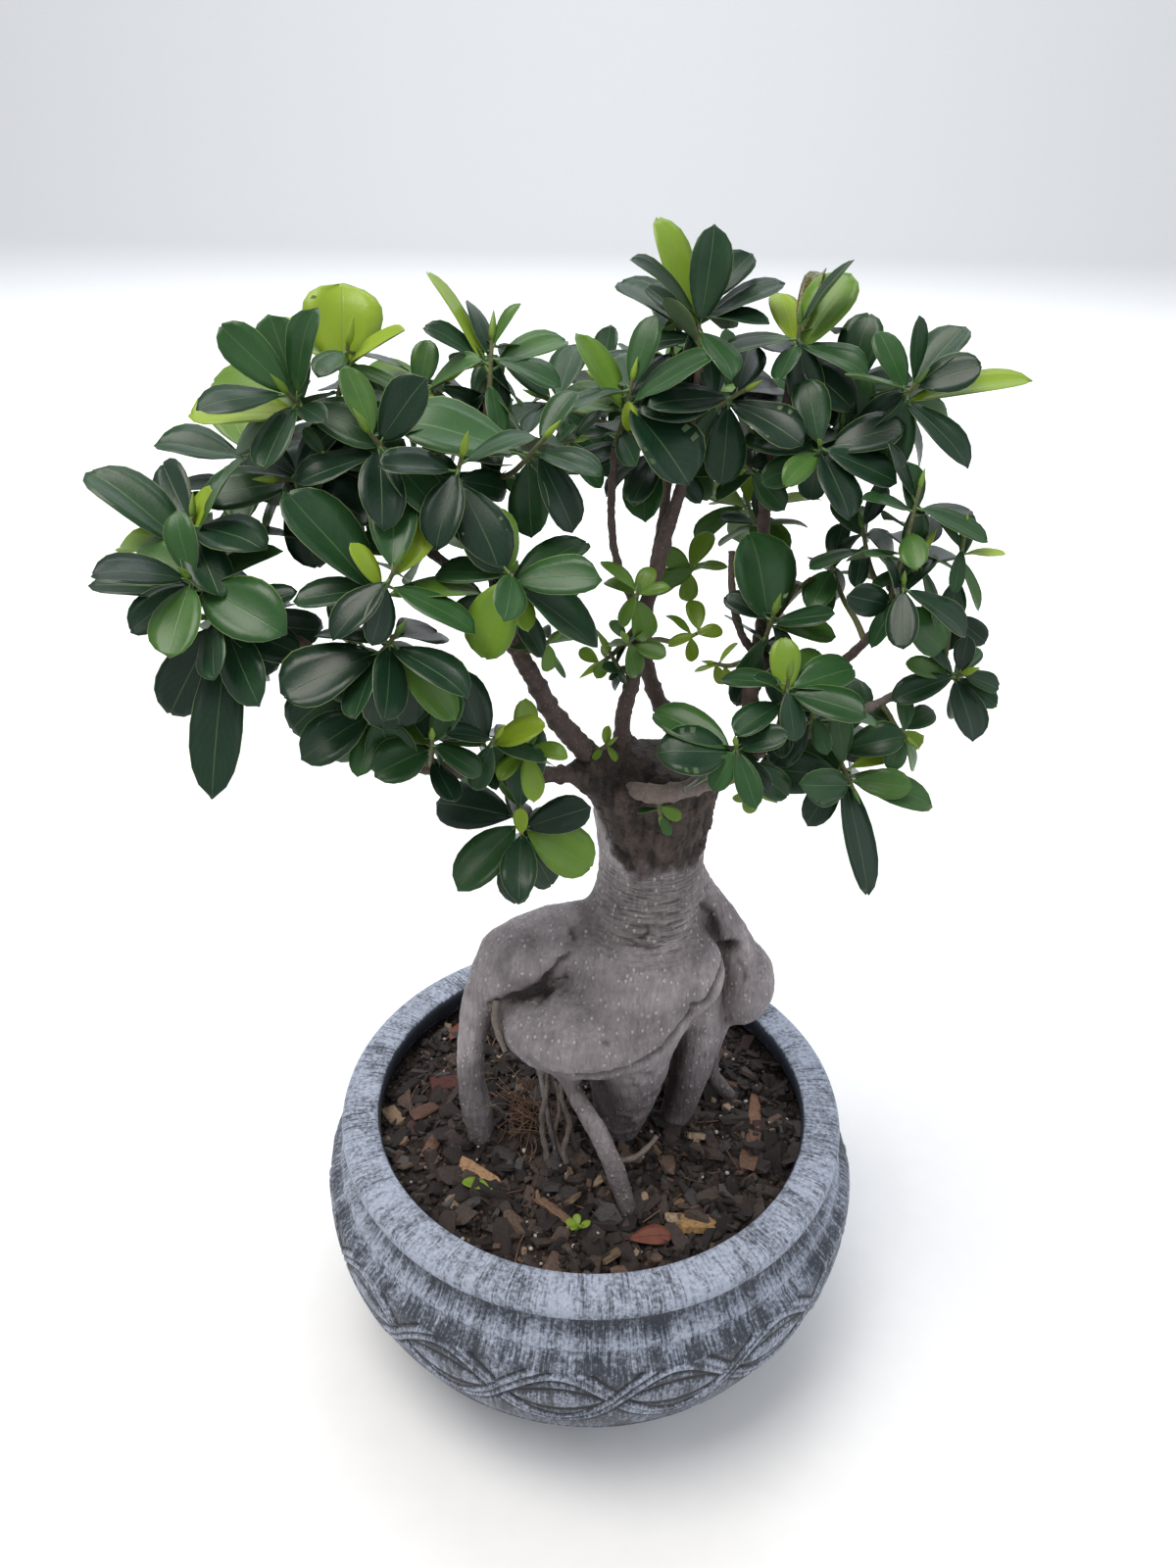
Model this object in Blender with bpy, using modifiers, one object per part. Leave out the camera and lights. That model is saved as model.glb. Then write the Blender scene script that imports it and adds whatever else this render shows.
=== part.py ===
"""Grafted ginseng ficus bonsai in a round antiqued pot, built in metres with +Z up.

The origin is the centre of the pot's underside. The tree is a swollen root trunk that
stands on its roots in the soil, with a grafted stump on top, limbs and leaf sprays.
"""
import math

import bpy
import bmesh
from mathutils import Matrix, Vector
from mathutils.bvhtree import BVHTree

MM = 0.001
GAP = 0.4 * MM

POT_HEIGHT = 138.0
RIM_RADIUS = 140.0
MOUTH_RADIUS = 119.0
BELLY_RADIUS = 150.5
BELLY_Z = 90.0
BELLY_ARC = 118.0
WALL = 9.0
POT_STEPS = 48
DRAIN_HOLES = 4
DRAIN_RADIUS = 6.0
DRAIN_CIRCLE = 45.0
SOIL_EDGE_Z = 120.0
SOIL_CROWN_Z = 123.0
SOIL_FLOOR_Z = 10.4

TRUNK_VOXEL = 2.2
TRUNK_KEEP = 0.045
TRUNK_SMOOTH = 4

LEAF_THICKNESS = 0.8
LEAF_CLEARANCE = 0.35
LEAF_FOLD = 0.22
LEAF_LENGTH_GAIN = 1.16
LEAF_WIDTH_GAIN = 1.05
TWIG_RADIUS = 1.2
LEAF_STEP = 1.7
LEAF_FACING = Vector((0.0, -0.45, 0.89))
LEAF_LEANS = (12, -18, 26, -8, 4, -26, 18, -2)
LEAF_TURNS = (0, 10, -10, 20, -20, 0, 30, -30, 40, -40)
LEAF_TILTS = (0, 10, -10, 20, -20)
LEAF_DROOP = 0.10
LEAF_STALK = 0.55
STEM_DROPS = ((8, 0), (8, 6), (16, 0), (8, 12), (0, 0), (24, 0), (-8, 0))
STEM_SHIFTS = (0, 4, -4, 8, -8, 12, -12, 16, -16)
STEM_DEPTHS = (0, 5, -5, 10)
PITCH = math.radians(29.3)

# Colours: name -> (red, green, blue, roughness, metallic), linear values.
FINISHES = {
    "pot_charcoal": (0.085, 0.098, 0.135, 0.62, 0.0),
    "potting_soil": (0.020, 0.013, 0.009, 0.95, 0.0),
    "root_bark": (0.270, 0.235, 0.220, 0.70, 0.0),
    "limb_bark": (0.072, 0.049, 0.042, 0.80, 0.0),
    "leaf_green": (0.024, 0.060, 0.030, 0.38, 0.0),
    "leaf_young": (0.200, 0.300, 0.022, 0.40, 0.0),
    "leaf_dead": (0.120, 0.035, 0.020, 0.75, 0.0),
}

# Root trunk: each chain is (x, y, z, radius) in millimetres, from the body outwards.
TRUNK_CHAINS = {
    "stump": ((27, 3, 285, 25.0), (27, 4, 302, 26.5), (27, 5, 322, 30.0), (28, 6, 341, 31.5)),
    "torso": ((27, 3, 300, 24.5), (27, 2, 283, 26.0), (25, 0, 262, 30.0), (22, -3, 238, 35.0),
              (16, -6, 215, 38.0), (16, -4, 200, 32.0)),
    "arm": ((2, -6, 256, 16.0), (-22, -9, 251, 19.0), (-42, -13, 240, 18.0), (-57, -17, 222, 12.5),
            (-64, -20, 198, 8.8), (-66, -21, 166, 8.4), (-62, -22, 138, 9.0), (-60, -22, 96, 7.0)),
    "centre_leg": ((16, -22, 198, 28.0), (19, -21, 175, 22.5), (18, -19, 151, 16.5),
                   (16, -15, 130, 10.5), (17, -12, 98, 5.0)),
    "right_leg": ((50, 0, 216, 20.0), (58, -2, 194, 13.0), (56, -2, 162, 12.0),
                  (49, -3, 124, 10.0), (47, -3, 94, 7.0)),
    "right_ridge": ((46, 6, 286, 7.5), (60, 9, 260, 11.5), (72, 12, 236, 13.5),
                    (79, 13, 214, 16.0), (80, 11, 200, 12.0)),
    "right_back_root": ((66, 8, 185, 10.0), (66, 10, 160, 7.0), (70, 11, 140, 5.5),
                        (82, 14, 121, 5.0), (88, 16, 98, 4.0)),
    "back_left_leg": ((-4, 20, 205, 17.0), (-10, 34, 165, 11.0), (-18, 40, 128, 8.5),
                      (-21, 42, 96, 6.5)),
    "back_right_leg": ((42, 22, 200, 17.0), (50, 36, 160, 10.5), (58, 42, 126, 8.0),
                       (60, 44, 96, 6.0)),
    "front_root": ((-12, -33, 200, 6.0), (-13, -41, 186, 5.2), (2, -52, 163, 5.4),
                   (13, -62, 142, 5.4), (21, -70, 119, 4.8), (24, -73, 100, 4.0)),
    "thin_root_a": ((-28, -30, 200, 3.2), (-27, -36, 182, 2.5), (-23, -37, 154, 2.5),
                    (-18, -39, 123, 2.6), (-17, -40, 104, 2.6)),
    "thin_root_b": ((-18, -30, 196, 3.2), (-20, -34, 178, 2.5), (-14, -33, 152, 2.5),
                    (-8, -33, 126, 2.7), (-7, -34, 105, 2.7)),
    "left_stub": ((8, -8, 338, 11.0), (-5, -18, 352, 7.0), (-13, -25, 358, 5.2)),
    "upper_stub": ((8, -8, 340, 11.0), (0, -15, 357, 7.0), (-6, -18, 366, 6.0)),
    "centre_stub": ((12, -6, 338, 10.0), (9, -10, 358, 6.0), (10, -9, 368, 5.0)),
    "right_stub": ((12, -12, 335, 9.0), (10, -22, 344, 6.8), (20, -27, 347, 6.4)),
    "back_stub": ((36, 16, 330, 11.0), (44, 24, 342, 7.2), (40, 26, 349, 6.0)),
}

# Swollen parts of the trunk: centre and half-axes in millimetres.
TRUNK_SWELLINGS = {
    "belly": ((-4, -23, 211), (46, 31, 29)),
    "chest": ((22, -12, 236), (38, 30, 36)),
    "hip": ((50, -13, 233), (19, 18, 27)),
    "right_lobe": ((83, 12, 207), (17, 19, 25)),
    "back": ((26, 16, 226), (45, 29, 40)),
    "left_shoulder": ((-34, -11, 244), (25, 17, 16)),
}

# Limbs: each is (x, y, z, radius) in millimetres, and what it grows out of.
LIMBS = {
    "left_low_limb": ("trunk", ((-10, -22, 356, 4.2), (-24, -34, 362, 3.8), (-49, -50, 370, 3.5),
                                (-65, -58, 377, 3.3), (-81, -60, 379, 2.5))),
    "left_long_limb": ("left_low_limb", ((-66, -58, 377, 2.6), (-85, -62, 389, 2.4),
                                         (-97, -62, 410, 2.1), (-108, -62, 425, 2.1),
                                         (-124, -60, 436, 2.0), (-143, -55, 442, 2.0),
                                         (-155, -52, 449, 1.9), (-164, -50, 460, 1.7))),
    "left_upper_limb": ("trunk", ((-3, -16, 361, 5.2), (-13, -22, 375, 5.0), (-22, -28, 390, 4.5),
                                  (-30, -34, 409, 4.0), (-38, -38, 427, 3.5),
                                  (-44, -38, 447, 2.8), (-48, -28, 468, 2.3),
                                  (-50, -12, 492, 2.0), (-50, 2, 514, 1.7))),
    "left_fork_limb": ("left_upper_limb", ((-39, -38, 430, 2.4), (-60, -30, 452, 2.2),
                                           (-76, -24, 463, 2.1), (-90, -17, 471, 2.0),
                                           (-103, -15, 479, 1.9), (-110, -15, 490, 1.8),
                                           (-112, -15, 507, 1.6))),
    "centre_limb": ("trunk", ((10, -10, 362, 4.2), (10, -8, 380, 3.7), (14, -5, 398, 3.6),
                              (16, 0, 419, 3.5), (22, 5, 441, 3.3), (27, 8, 463, 3.0),
                              (33, 12, 485, 2.4), (36, 20, 508, 2.0), (38, 27, 527, 1.7))),
    "centre_side_stem": ("centre_limb", ((17, 1, 422, 2.0), (10, 6, 436, 1.9), (4, 9, 452, 1.8),
                                         (2, 11, 472, 1.7), (3, 14, 496, 1.6))),
    "back_limb": ("trunk", ((44, 25, 343, 4.8), (34, 28, 360, 4.4), (26, 31, 375, 4.0),
                            (21, 36, 392, 3.6), (22, 46, 416, 3.0), (27, 58, 445, 2.6),
                            (30, 72, 470, 2.1), (31, 84, 490, 1.8))),
    "right_low_limb": ("trunk", ((16, -25, 346, 3.4), (33, -30, 352, 4.3), (47, -32, 358, 4.0),
                                 (60, -31, 363, 4.0), (69, -28, 372, 3.7), (78, -25, 378, 3.4),
                                 (89, -22, 379, 3.1), (103, -20, 381, 2.7), (114, -18, 387, 2.4),
                                 (128, -15, 394, 2.1), (140, -12, 399, 1.9), (152, -11, 403, 1.7))),
    "right_rising_limb": ("right_low_limb", ((69, -28, 372, 3.6), (66, -22, 388, 3.7),
                                             (67, -10, 400, 3.7), (71, 4, 409, 3.6),
                                             (74, 16, 426, 3.2), (72, 24, 449, 3.0),
                                             (71, 28, 474, 2.7), (72, 30, 492, 2.2),
                                             (76, 30, 510, 1.9), (79, 30, 527, 1.6))),
    "right_fork_limb": ("right_rising_limb", ((71, 29, 476, 2.2), (84, 25, 484, 2.0),
                                              (96, 22, 495, 1.9), (109, 18, 506, 1.8),
                                              (117, 14, 513, 1.6))),
    "right_mid_limb": ("right_rising_limb", ((71, 3, 408, 2.8), (84, -4, 396, 2.5),
                                             (97, -8, 399, 2.3), (107, -11, 410, 2.1),
                                             (115, -17, 424, 1.9), (119, -23, 438, 1.7))),
    "inner_stem": ("right_rising_limb", ((70, 1, 407, 1.9), (62, -2, 418, 1.8), (57, 2, 434, 1.7),
                                         (56, 12, 452, 1.6))),
}

# Leaf sprays: limb, rosette centre, then leaves as (clock angle, length, width share).
# Clock angles are seen from the front, slightly above: 0 is right and 90 is up.
SPRAYS = {
    "far_left": ("left_long_limb", (-163, -45, 472), (
        (135, 42, .45), (172, 32, .42), (55, 36, .42), (15, 34, .50), (75, 18, .50),
        (150, 52, .24), (-60, 30, .50))),
    "left_shoulder": ("left_long_limb", (-158, -62, 458), (
        (178, 36, .38), (192, 26, .50), (-25, 36, .58), (28, 30, .50), (218, 26, .50))),
    "left_hanging": ("left_long_limb", (-150, -67, 446), (
        (-92, 60, .27), (-103, 34, .60), (-62, 34, .45), (-122, 38, .48), (20, 28, .42),
        (-20, 30, .50))),
    "young_crown": ("left_fork_limb", (-104, -12, 533), (
        (88, 31, .82), (130, 31, .45), (28, 26, .45), (-20, 24, .42), (165, 27, .32),
        (-65, 26, .50))),
    "left_crown": ("left_fork_limb", (-120, -30, 520), (
        (182, 38, .45), (155, 43, .42), (108, 30, .55), (205, 30, .50), (-20, 32, .50),
        (82, 17, .55), (135, 30, .45))),
    "left_back": ("left_long_limb", (-150, 12, 492), (
        (170, 34, .50), (120, 34, .50), (62, 30, .50), (215, 30, .50), (10, 32, .50))),
    "left_inner": ("left_fork_limb", (-126, -28, 490), (
        (190, 36, .50), (150, 30, .50), (-30, 34, .55), (-80, 30, .50), (60, 28, .45),
        (230, 32, .50))),
    "left_fork": ("left_fork_limb", (-93, -40, 509), (
        (200, 30, .50), (-15, 30, .45), (-80, 30, .50), (-45, 32, .45), (110, 26, .42))),
    "fork_side": ("left_fork_limb", (-72, 2, 521), (
        (80, 19, .50), (180, 24, .45), (30, 23, .45), (-85, 15, .50), (148, 30, .42),
        (-20, 26, .50))),
    "spike": ("left_upper_limb", (-49, 12, 532), (
        (116, 40, .26), (38, 34, .38), (152, 26, .35), (200, 23, .32), (-15, 26, .42),
        (-75, 22, .42), (62, 18, .32))),
    "left_centre": ("left_fork_limb", (-57, -45, 501), (
        (-60, 34, .50), (-125, 34, .50), (180, 26, .50), (-95, 28, .50), (30, 26, .50))),
    "wide_leaf": ("left_upper_limb", (-28, -30, 506), (
        (182, 43, .56), (158, 36, .38), (-20, 26, .50), (-62, 30, .42), (60, 22, .50))),
    "mid_left_low": ("left_long_limb", (-82, -72, 464), (
        (130, 44, .50), (10, 34, .42), (118, 18, .42), (186, 30, .42), (-22, 32, .42),
        (62, 27, .42), (228, 27, .50), (92, 30, .50))),
    "mid_left_deep": ("left_long_limb", (-82, -77, 442), (
        (206, 36, .60), (-80, 29, .80), (-25, 34, .45), (168, 26, .50), (-48, 33, .45))),
    "low_left": ("left_long_limb", (-88, -79, 416), (
        (212, 29, .60), (-72, 24, .70), (-30, 27, .50), (150, 22, .50))),
    "stub_round": ("left_low_limb", (-68, -79, 400), (
        (196, 22, .72), (150, 20, .60), (62, 20, .50), (-30, 20, .50))),
    "stub_shoot": ("left_low_limb", (-45, -70, 396), (
        (110, 30, .50), (152, 24, .50), (25, 22, .50), (-12, 20, .50), (-110, 18, .50))),
    "low_shoot": ("left_low_limb", (-34, -61, 349), (
        (85, 36, .44), (168, 37, .50), (226, 34, .50), (-28, 32, .58), (20, 27, .50),
        (-60, 27, .50), (95, 11, .50))),
    "inner_left": ("left_upper_limb", (-37, -61, 463), (
        (100, 26, .50), (36, 34, .42), (5, 32, .45), (-30, 37, .64), (-66, 18, .50),
        (170, 26, .45), (130, 30, .50), (-112, 29, .66))),
    "centre_crown": ("centre_side_stem", (8, 18, 516), (
        (120, 33, .50), (160, 27, .60), (28, 36, .45), (-18, 37, .68), (-85, 12, .50),
        (178, 32, .32), (75, 27, .42))),
    "centre_dark": ("centre_limb", (12, 34, 492), (
        (-85, 28, .55), (-120, 32, .50), (-10, 34, .50), (-45, 36, .50), (200, 30, .50),
        (150, 24, .50))),
    "top_spike": ("centre_limb", (37, 34, 545), (
        (108, 45, .30), (132, 43, .38), (82, 35, .42), (148, 26, .42), (28, 34, .42),
        (172, 36, .24), (-12, 26, .50), (52, 30, .42))),
    "top_left": ("back_limb", (28, 60, 530), (
        (190, 32, .42), (-60, 30, .50), (-120, 30, .50), (100, 28, .42))),
    "top_mid": ("centre_limb", (52, 22, 516), (
        (150, 30, .50), (20, 32, .50), (-30, 34, .50), (-90, 30, .50), (202, 34, .42),
        (75, 30, .50))),
    "top_right": ("right_rising_limb", (79, 30, 538), (
        (58, 33, .60), (102, 28, .42), (-22, 28, .42), (76, 36, .24), (186, 28, .50),
        (-80, 26, .50))),
    "right_crown": ("right_fork_limb", (104, 44, 517), (
        (78, 32, .50), (150, 28, .50), (-60, 32, .50), (200, 30, .50), (10, 26, .45))),
    "far_right_top": ("right_fork_limb", (122, 10, 520), (
        (12, 46, .28), (2, 27, .32), (-48, 34, .36), (100, 18, .42), (112, 25, .42),
        (-105, 30, .50), (175, 26, .50))),
    "right_top_low": ("right_fork_limb", (88, 2, 500), (
        (20, 30, .50), (160, 30, .50), (-70, 30, .50), (102, 26, .50), (-22, 30, .50))),
    "right_side": ("right_mid_limb", (128, -10, 481), (
        (95, 20, .50), (15, 26, .42), (170, 22, .42), (-20, 28, .42), (122, 24, .42),
        (-80, 20, .50))),
    "far_right_tip": ("right_low_limb", (150, -12, 463), (
        (80, 18, .32), (-60, 22, .32), (0, 15, .32), (120, 15, .32), (-100, 17, .32))),
    "right_mid": ("right_mid_limb", (121, -28, 447), (
        (42, 35, .55), (110, 26, .42), (8, 30, .42), (186, 28, .50), (-50, 24, .45),
        (-110, 30, .50), (150, 30, .50))),
    "broad_leaf": ("right_rising_limb", (73, -12, 429), (
        (100, 36, .80), (52, 30, .42), (8, 24, .50), (150, 20, .50))),
    "curled": ("right_low_limb", (78, -38, 409), (
        (92, 22, .50), (55, 24, .45), (-12, 30, .50), (22, 28, .50), (-80, 20, .50),
        (172, 26, .45))),
    "round_low": ("right_low_limb", (57, -51, 386), (
        (178, 29, .74), (152, 36, .45), (20, 20, .50), (-118, 18, .50))),
    "far_right_low": ("right_low_limb", (155, -18, 407), (
        (-30, 20, .42), (45, 20, .36), (-75, 26, .60), (120, 22, .36), (200, 26, .42),
        (2, 22, .42))),
    "right_drop": ("right_low_limb", (110, -34, 365), (
        (-78, 52, .28), (-118, 27, .45), (102, 24, .42), (26, 38, .26), (-15, 36, .42),
        (175, 34, .50), (-4, 23, .50))),
    "behind_right": ("right_rising_limb", (68, 58, 460), (
        (20, 28, .50), (150, 28, .50), (-60, 28, .50), (82, 26, .50), (-150, 26, .50))),
    "small_shoot": ("centre_limb", (5, -5, 407), (
        (150, 13, .60), (205, 11, .60), (60, 11, .60), (-70, 9, .60))),
    "back_left": ("back_limb", (-28, 92, 500), (
        (20, 34, .50), (80, 34, .50), (140, 32, .50), (200, 30, .50), (-40, 30, .50))),
    "back_right": ("right_rising_limb", (86, 88, 488), (
        (20, 34, .50), (80, 34, .50), (140, 32, .50), (200, 30, .50), (-40, 30, .50))),
    "back_mid": ("back_limb", (32, 112, 500), (
        (15, 34, .50), (75, 34, .50), (135, 32, .50), (195, 30, .50), (-45, 30, .50))),
}

# Litter on the soil: name -> (x, y, height, heading in degrees, length, share, finish).
LITTER = {
    "fallen_leaf": (-52, -62, 123.2, 160, 17, 0.45, "leaf_young"),
    "dead_leaf_front": (18, -91, 122.9, 10, 24, 0.40, "leaf_dead"),
    "dead_leaf_back": (-88, 52, 122.0, 70, 20, 0.35, "leaf_dead"),
}
SEEDLING = (-7, -86, 122.2)


def clear_scene():
    for item in list(bpy.data.objects):
        bpy.data.objects.remove(item, do_unlink=True)


def make_collection(name):
    group = bpy.data.collections.new(name)
    bpy.context.scene.collection.children.link(group)
    return group


def finish_material(name):
    red, green, blue, roughness, metallic = FINISHES[name]
    material = bpy.data.materials.get(name) or bpy.data.materials.new(name)
    material.use_nodes = True
    shader = material.node_tree.nodes["Principled BSDF"]
    shader.inputs["Base Color"].default_value = (red, green, blue, 1.0)
    shader.inputs["Roughness"].default_value = roughness
    shader.inputs["Metallic"].default_value = metallic
    return material


def add_object(name, mesh, group, finish=None):
    item = bpy.data.objects.new(name, mesh)
    group.objects.link(item)
    if finish:
        mesh.materials.clear()
        mesh.materials.append(finish_material(finish))
    return item


def hide_cutter(item):
    item.hide_render = True
    item.display_type = "WIRE"


def evaluated_mesh(item):
    bpy.context.view_layer.update()
    graph = bpy.context.evaluated_depsgraph_get()
    return bpy.data.meshes.new_from_object(item.evaluated_get(graph))


def weld(mesh):
    work = bmesh.new()
    work.from_mesh(mesh)
    bmesh.ops.remove_doubles(work, verts=work.verts, dist=0.00002)
    bmesh.ops.recalc_face_normals(work, faces=work.faces)
    work.to_mesh(mesh)
    work.free()


def tube_mesh(name, points, rings, extra=0.0):
    """A closed tube through (x, y, z, radius) points in millimetres."""
    data = bpy.data.curves.new(name + "_path", "CURVE")
    data.dimensions = "3D"
    data.bevel_depth = MM
    data.bevel_resolution = rings
    data.use_fill_caps = True
    spline = data.splines.new("POLY")
    spline.points.add(len(points) - 1)
    for slot, (x, y, z, radius) in zip(spline.points, points):
        slot.co = (x * MM, y * MM, z * MM, 1.0)
        slot.radius = radius + extra
    guide = bpy.data.objects.new(name + "_path", data)
    bpy.context.scene.collection.objects.link(guide)
    mesh = evaluated_mesh(guide)
    mesh.name = name
    weld(mesh)
    bpy.data.objects.remove(guide, do_unlink=True)
    return mesh


def lathe(name, profile, group, finish):
    """A turned piece from an (x, z) profile in millimetres, top to bottom on its outside."""
    work = bmesh.new()
    row = [work.verts.new((x * MM, 0.0, z * MM)) for x, z in profile]
    for start, end in zip(row, row[1:]):
        work.edges.new((start, end))
    mesh = bpy.data.meshes.new(name)
    work.to_mesh(mesh)
    work.free()
    item = add_object(name, mesh, group, finish)
    screw = item.modifiers.new("Turn", "SCREW")
    screw.steps = POT_STEPS
    screw.render_steps = POT_STEPS
    screw.use_merge_vertices = True
    screw.merge_threshold = 0.0001
    return item


def belly_radius(height):
    """The outer radius of the belly, an elliptical arc down to the foot."""
    return BELLY_RADIUS * math.sqrt(1.0 - ((BELLY_Z - height) / BELLY_ARC) ** 2)


def cavity_radius(height):
    """The radius inside the belly, one wall thickness in from the outside."""
    return belly_radius(height) - WALL


def pot_profile():
    inner = MOUTH_RADIUS
    floor = [(0, 10), (cavity_radius(14) - 8, 10)]
    inside = [(cavity_radius(z), z) for z in (20, 45, 70, 92)]
    mouth = [(130, 112), (inner + 2, 124), (inner, 134), (inner + 2, POT_HEIGHT)]
    rim = [(RIM_RADIUS - 3, POT_HEIGHT), (RIM_RADIUS, 135), (RIM_RADIUS, 129)]
    neck = [(RIM_RADIUS - 5, 125), (RIM_RADIUS - 3, 117)]
    ridge = [(RIM_RADIUS + 1.5, 113), (RIM_RADIUS + 1.5, 109), (RIM_RADIUS + 2.5, 106)]
    belly = [(belly_radius(z), z) for z in (100, 88, 70, 50, 30, 14, 4)]
    foot = [(belly_radius(0) - 2, 0), (0, 0)]
    return floor + inside + mouth + rim + neck + ridge + belly + foot


def make_pot(group, cutters):
    pot = lathe("pot", pot_profile(), group, "pot_charcoal")
    for index in range(DRAIN_HOLES):
        angle = math.tau * (index + 0.5) / DRAIN_HOLES
        spot = Vector((math.cos(angle), math.sin(angle), 0.0)) * DRAIN_CIRCLE * MM
        bpy.ops.mesh.primitive_cylinder_add(vertices=16, radius=DRAIN_RADIUS * MM,
                                            depth=40 * MM, location=spot)
        drill = bpy.context.object
        drill.name = f"drain_drill_{index + 1}"
        hide_cutter(drill)
        for owner in list(drill.users_collection):
            owner.objects.unlink(drill)
        cutters.objects.link(drill)
        cut = pot.modifiers.new(f"Drain {index + 1}", "BOOLEAN")
        cut.operation = "DIFFERENCE"
        cut.object = drill


def soil_profile():
    top = [(0, SOIL_CROWN_Z), (40, SOIL_CROWN_Z), (80, SOIL_EDGE_Z + 2), (112, SOIL_EDGE_Z)]
    edge = [(119, SOIL_EDGE_Z - 1), (124, 115), (129, 111)]
    side = [(cavity_radius(z) - 0.7, z) for z in (92, 70, 45, 20)]
    floor = [(cavity_radius(14) - 9, SOIL_FLOOR_Z), (0, SOIL_FLOOR_Z)]
    return top + edge + side + floor


def add_shape(work, mesh):
    work.from_mesh(mesh)
    bpy.data.meshes.remove(mesh)


def swelling(work, centre, axes):
    place = Matrix.Translation(Vector(centre) * MM)
    size = Matrix.Diagonal((axes[0] * MM, axes[1] * MM, axes[2] * MM, 1.0))
    bmesh.ops.create_icosphere(work, subdivisions=3, radius=1.0, matrix=place @ size)


def keep_largest_body(mesh):
    """Drop the specks that voxel fusing can leave beside the main body."""
    work = bmesh.new()
    work.from_mesh(mesh)
    left = set(work.verts)
    bodies = []
    while left:
        stack = [left.pop()]
        body = set(stack)
        while stack:
            for edge in stack.pop().link_edges:
                for vert in edge.verts:
                    if vert in left:
                        left.remove(vert)
                        body.add(vert)
                        stack.append(vert)
        bodies.append(body)
    bodies.sort(key=len)
    specks = [vert for body in bodies[:-1] for vert in body]
    bmesh.ops.delete(work, geom=specks, context="VERTS")
    work.to_mesh(mesh)
    work.free()


def make_trunk(group):
    """All roots, swellings and limb stubs fused into one grown piece."""
    work = bmesh.new()
    for name, points in TRUNK_CHAINS.items():
        add_shape(work, tube_mesh(name, points, 6))
    for centre, axes in TRUNK_SWELLINGS.values():
        swelling(work, centre, axes)
    mesh = bpy.data.meshes.new("trunk")
    work.to_mesh(mesh)
    work.free()
    trunk = add_object("trunk", mesh, group, "root_bark")
    fuse = trunk.modifiers.new("Fuse", "REMESH")
    fuse.mode = "VOXEL"
    fuse.voxel_size = TRUNK_VOXEL * MM
    soften = trunk.modifiers.new("Soften", "SMOOTH")
    soften.factor = 0.5
    soften.iterations = TRUNK_SMOOTH
    thin = trunk.modifiers.new("Thin", "DECIMATE")
    thin.ratio = TRUNK_KEEP
    fused = evaluated_mesh(trunk)
    bpy.data.objects.remove(trunk, do_unlink=True)
    fused.name = "trunk"
    keep_largest_body(fused)
    fused.shade_smooth()
    return add_object("trunk", fused, group, "root_bark")


def swollen_copy(name, source, grow, cutters):
    """A copy of a solid moved out along its normals, used to leave a gap around it."""
    mesh = source.data.copy()
    offsets = [vert.normal.copy() for vert in mesh.vertices]
    for vert, normal in zip(mesh.vertices, offsets):
        vert.co = vert.co + normal * grow
    item = add_object(name, mesh, cutters)
    item.matrix_world = source.matrix_world.copy()
    hide_cutter(item)
    return item


def cut_away(item, cutter):
    cut = item.modifiers.new("Clear " + cutter.name, "BOOLEAN")
    cut.operation = "DIFFERENCE"
    cut.object = cutter


def make_soil(group, trunk_cutter):
    soil = lathe("soil", soil_profile(), group, "potting_soil")
    cut_away(soil, trunk_cutter)


def limb_path(name):
    """A limb's points; one that forks starts on the centre line of its parent."""
    parent, points = LIMBS[name]
    if parent == "trunk":
        return points
    spot, radius, _ = nearest_on_limb(LIMBS[parent][1], Vector(points[0][:3]))
    return ((*spot, min(points[0][3], radius * 0.75)),) + tuple(points[1:])


def make_limbs(group, cutters, trunk_cutter):
    for name, (parent, _) in LIMBS.items():
        points = limb_path(name)
        limb = add_object(name, tube_mesh(name, points, 2), group, "limb_bark")
        if parent == "trunk":
            cut_away(limb, trunk_cutter)
        else:
            near = tube_mesh(parent + "_clear", LIMBS[parent][1], 2, GAP / MM)
            keeper = add_object(name + "_saddle", near, cutters)
            hide_cutter(keeper)
            cut_away(limb, keeper)


def tree_of(mesh):
    verts = [vert.co.copy() for vert in mesh.vertices]
    return BVHTree.FromPolygons(verts, [list(face.vertices) for face in mesh.polygons])


def clock_direction(angle, lean):
    """A direction seen from the front at a clock angle, leaning towards the viewer."""
    turn = math.radians(angle)
    up = Vector((0.0, math.sin(PITCH), math.cos(PITCH)))
    toward = Vector((0.0, -math.cos(PITCH), math.sin(PITCH)))
    flat = Vector((math.cos(turn), 0.0, 0.0)) + up * math.sin(turn)
    tilt = math.radians(lean)
    return (flat * math.cos(tilt) + toward * math.sin(tilt)).normalized()


def leaf_frame(start, direction, facing):
    side = direction.cross(facing)
    side.normalize()
    normal = side.cross(direction).normalized()
    frame = Matrix((direction, side, normal)).transposed().to_4x4()
    frame.translation = start
    return frame


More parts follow.
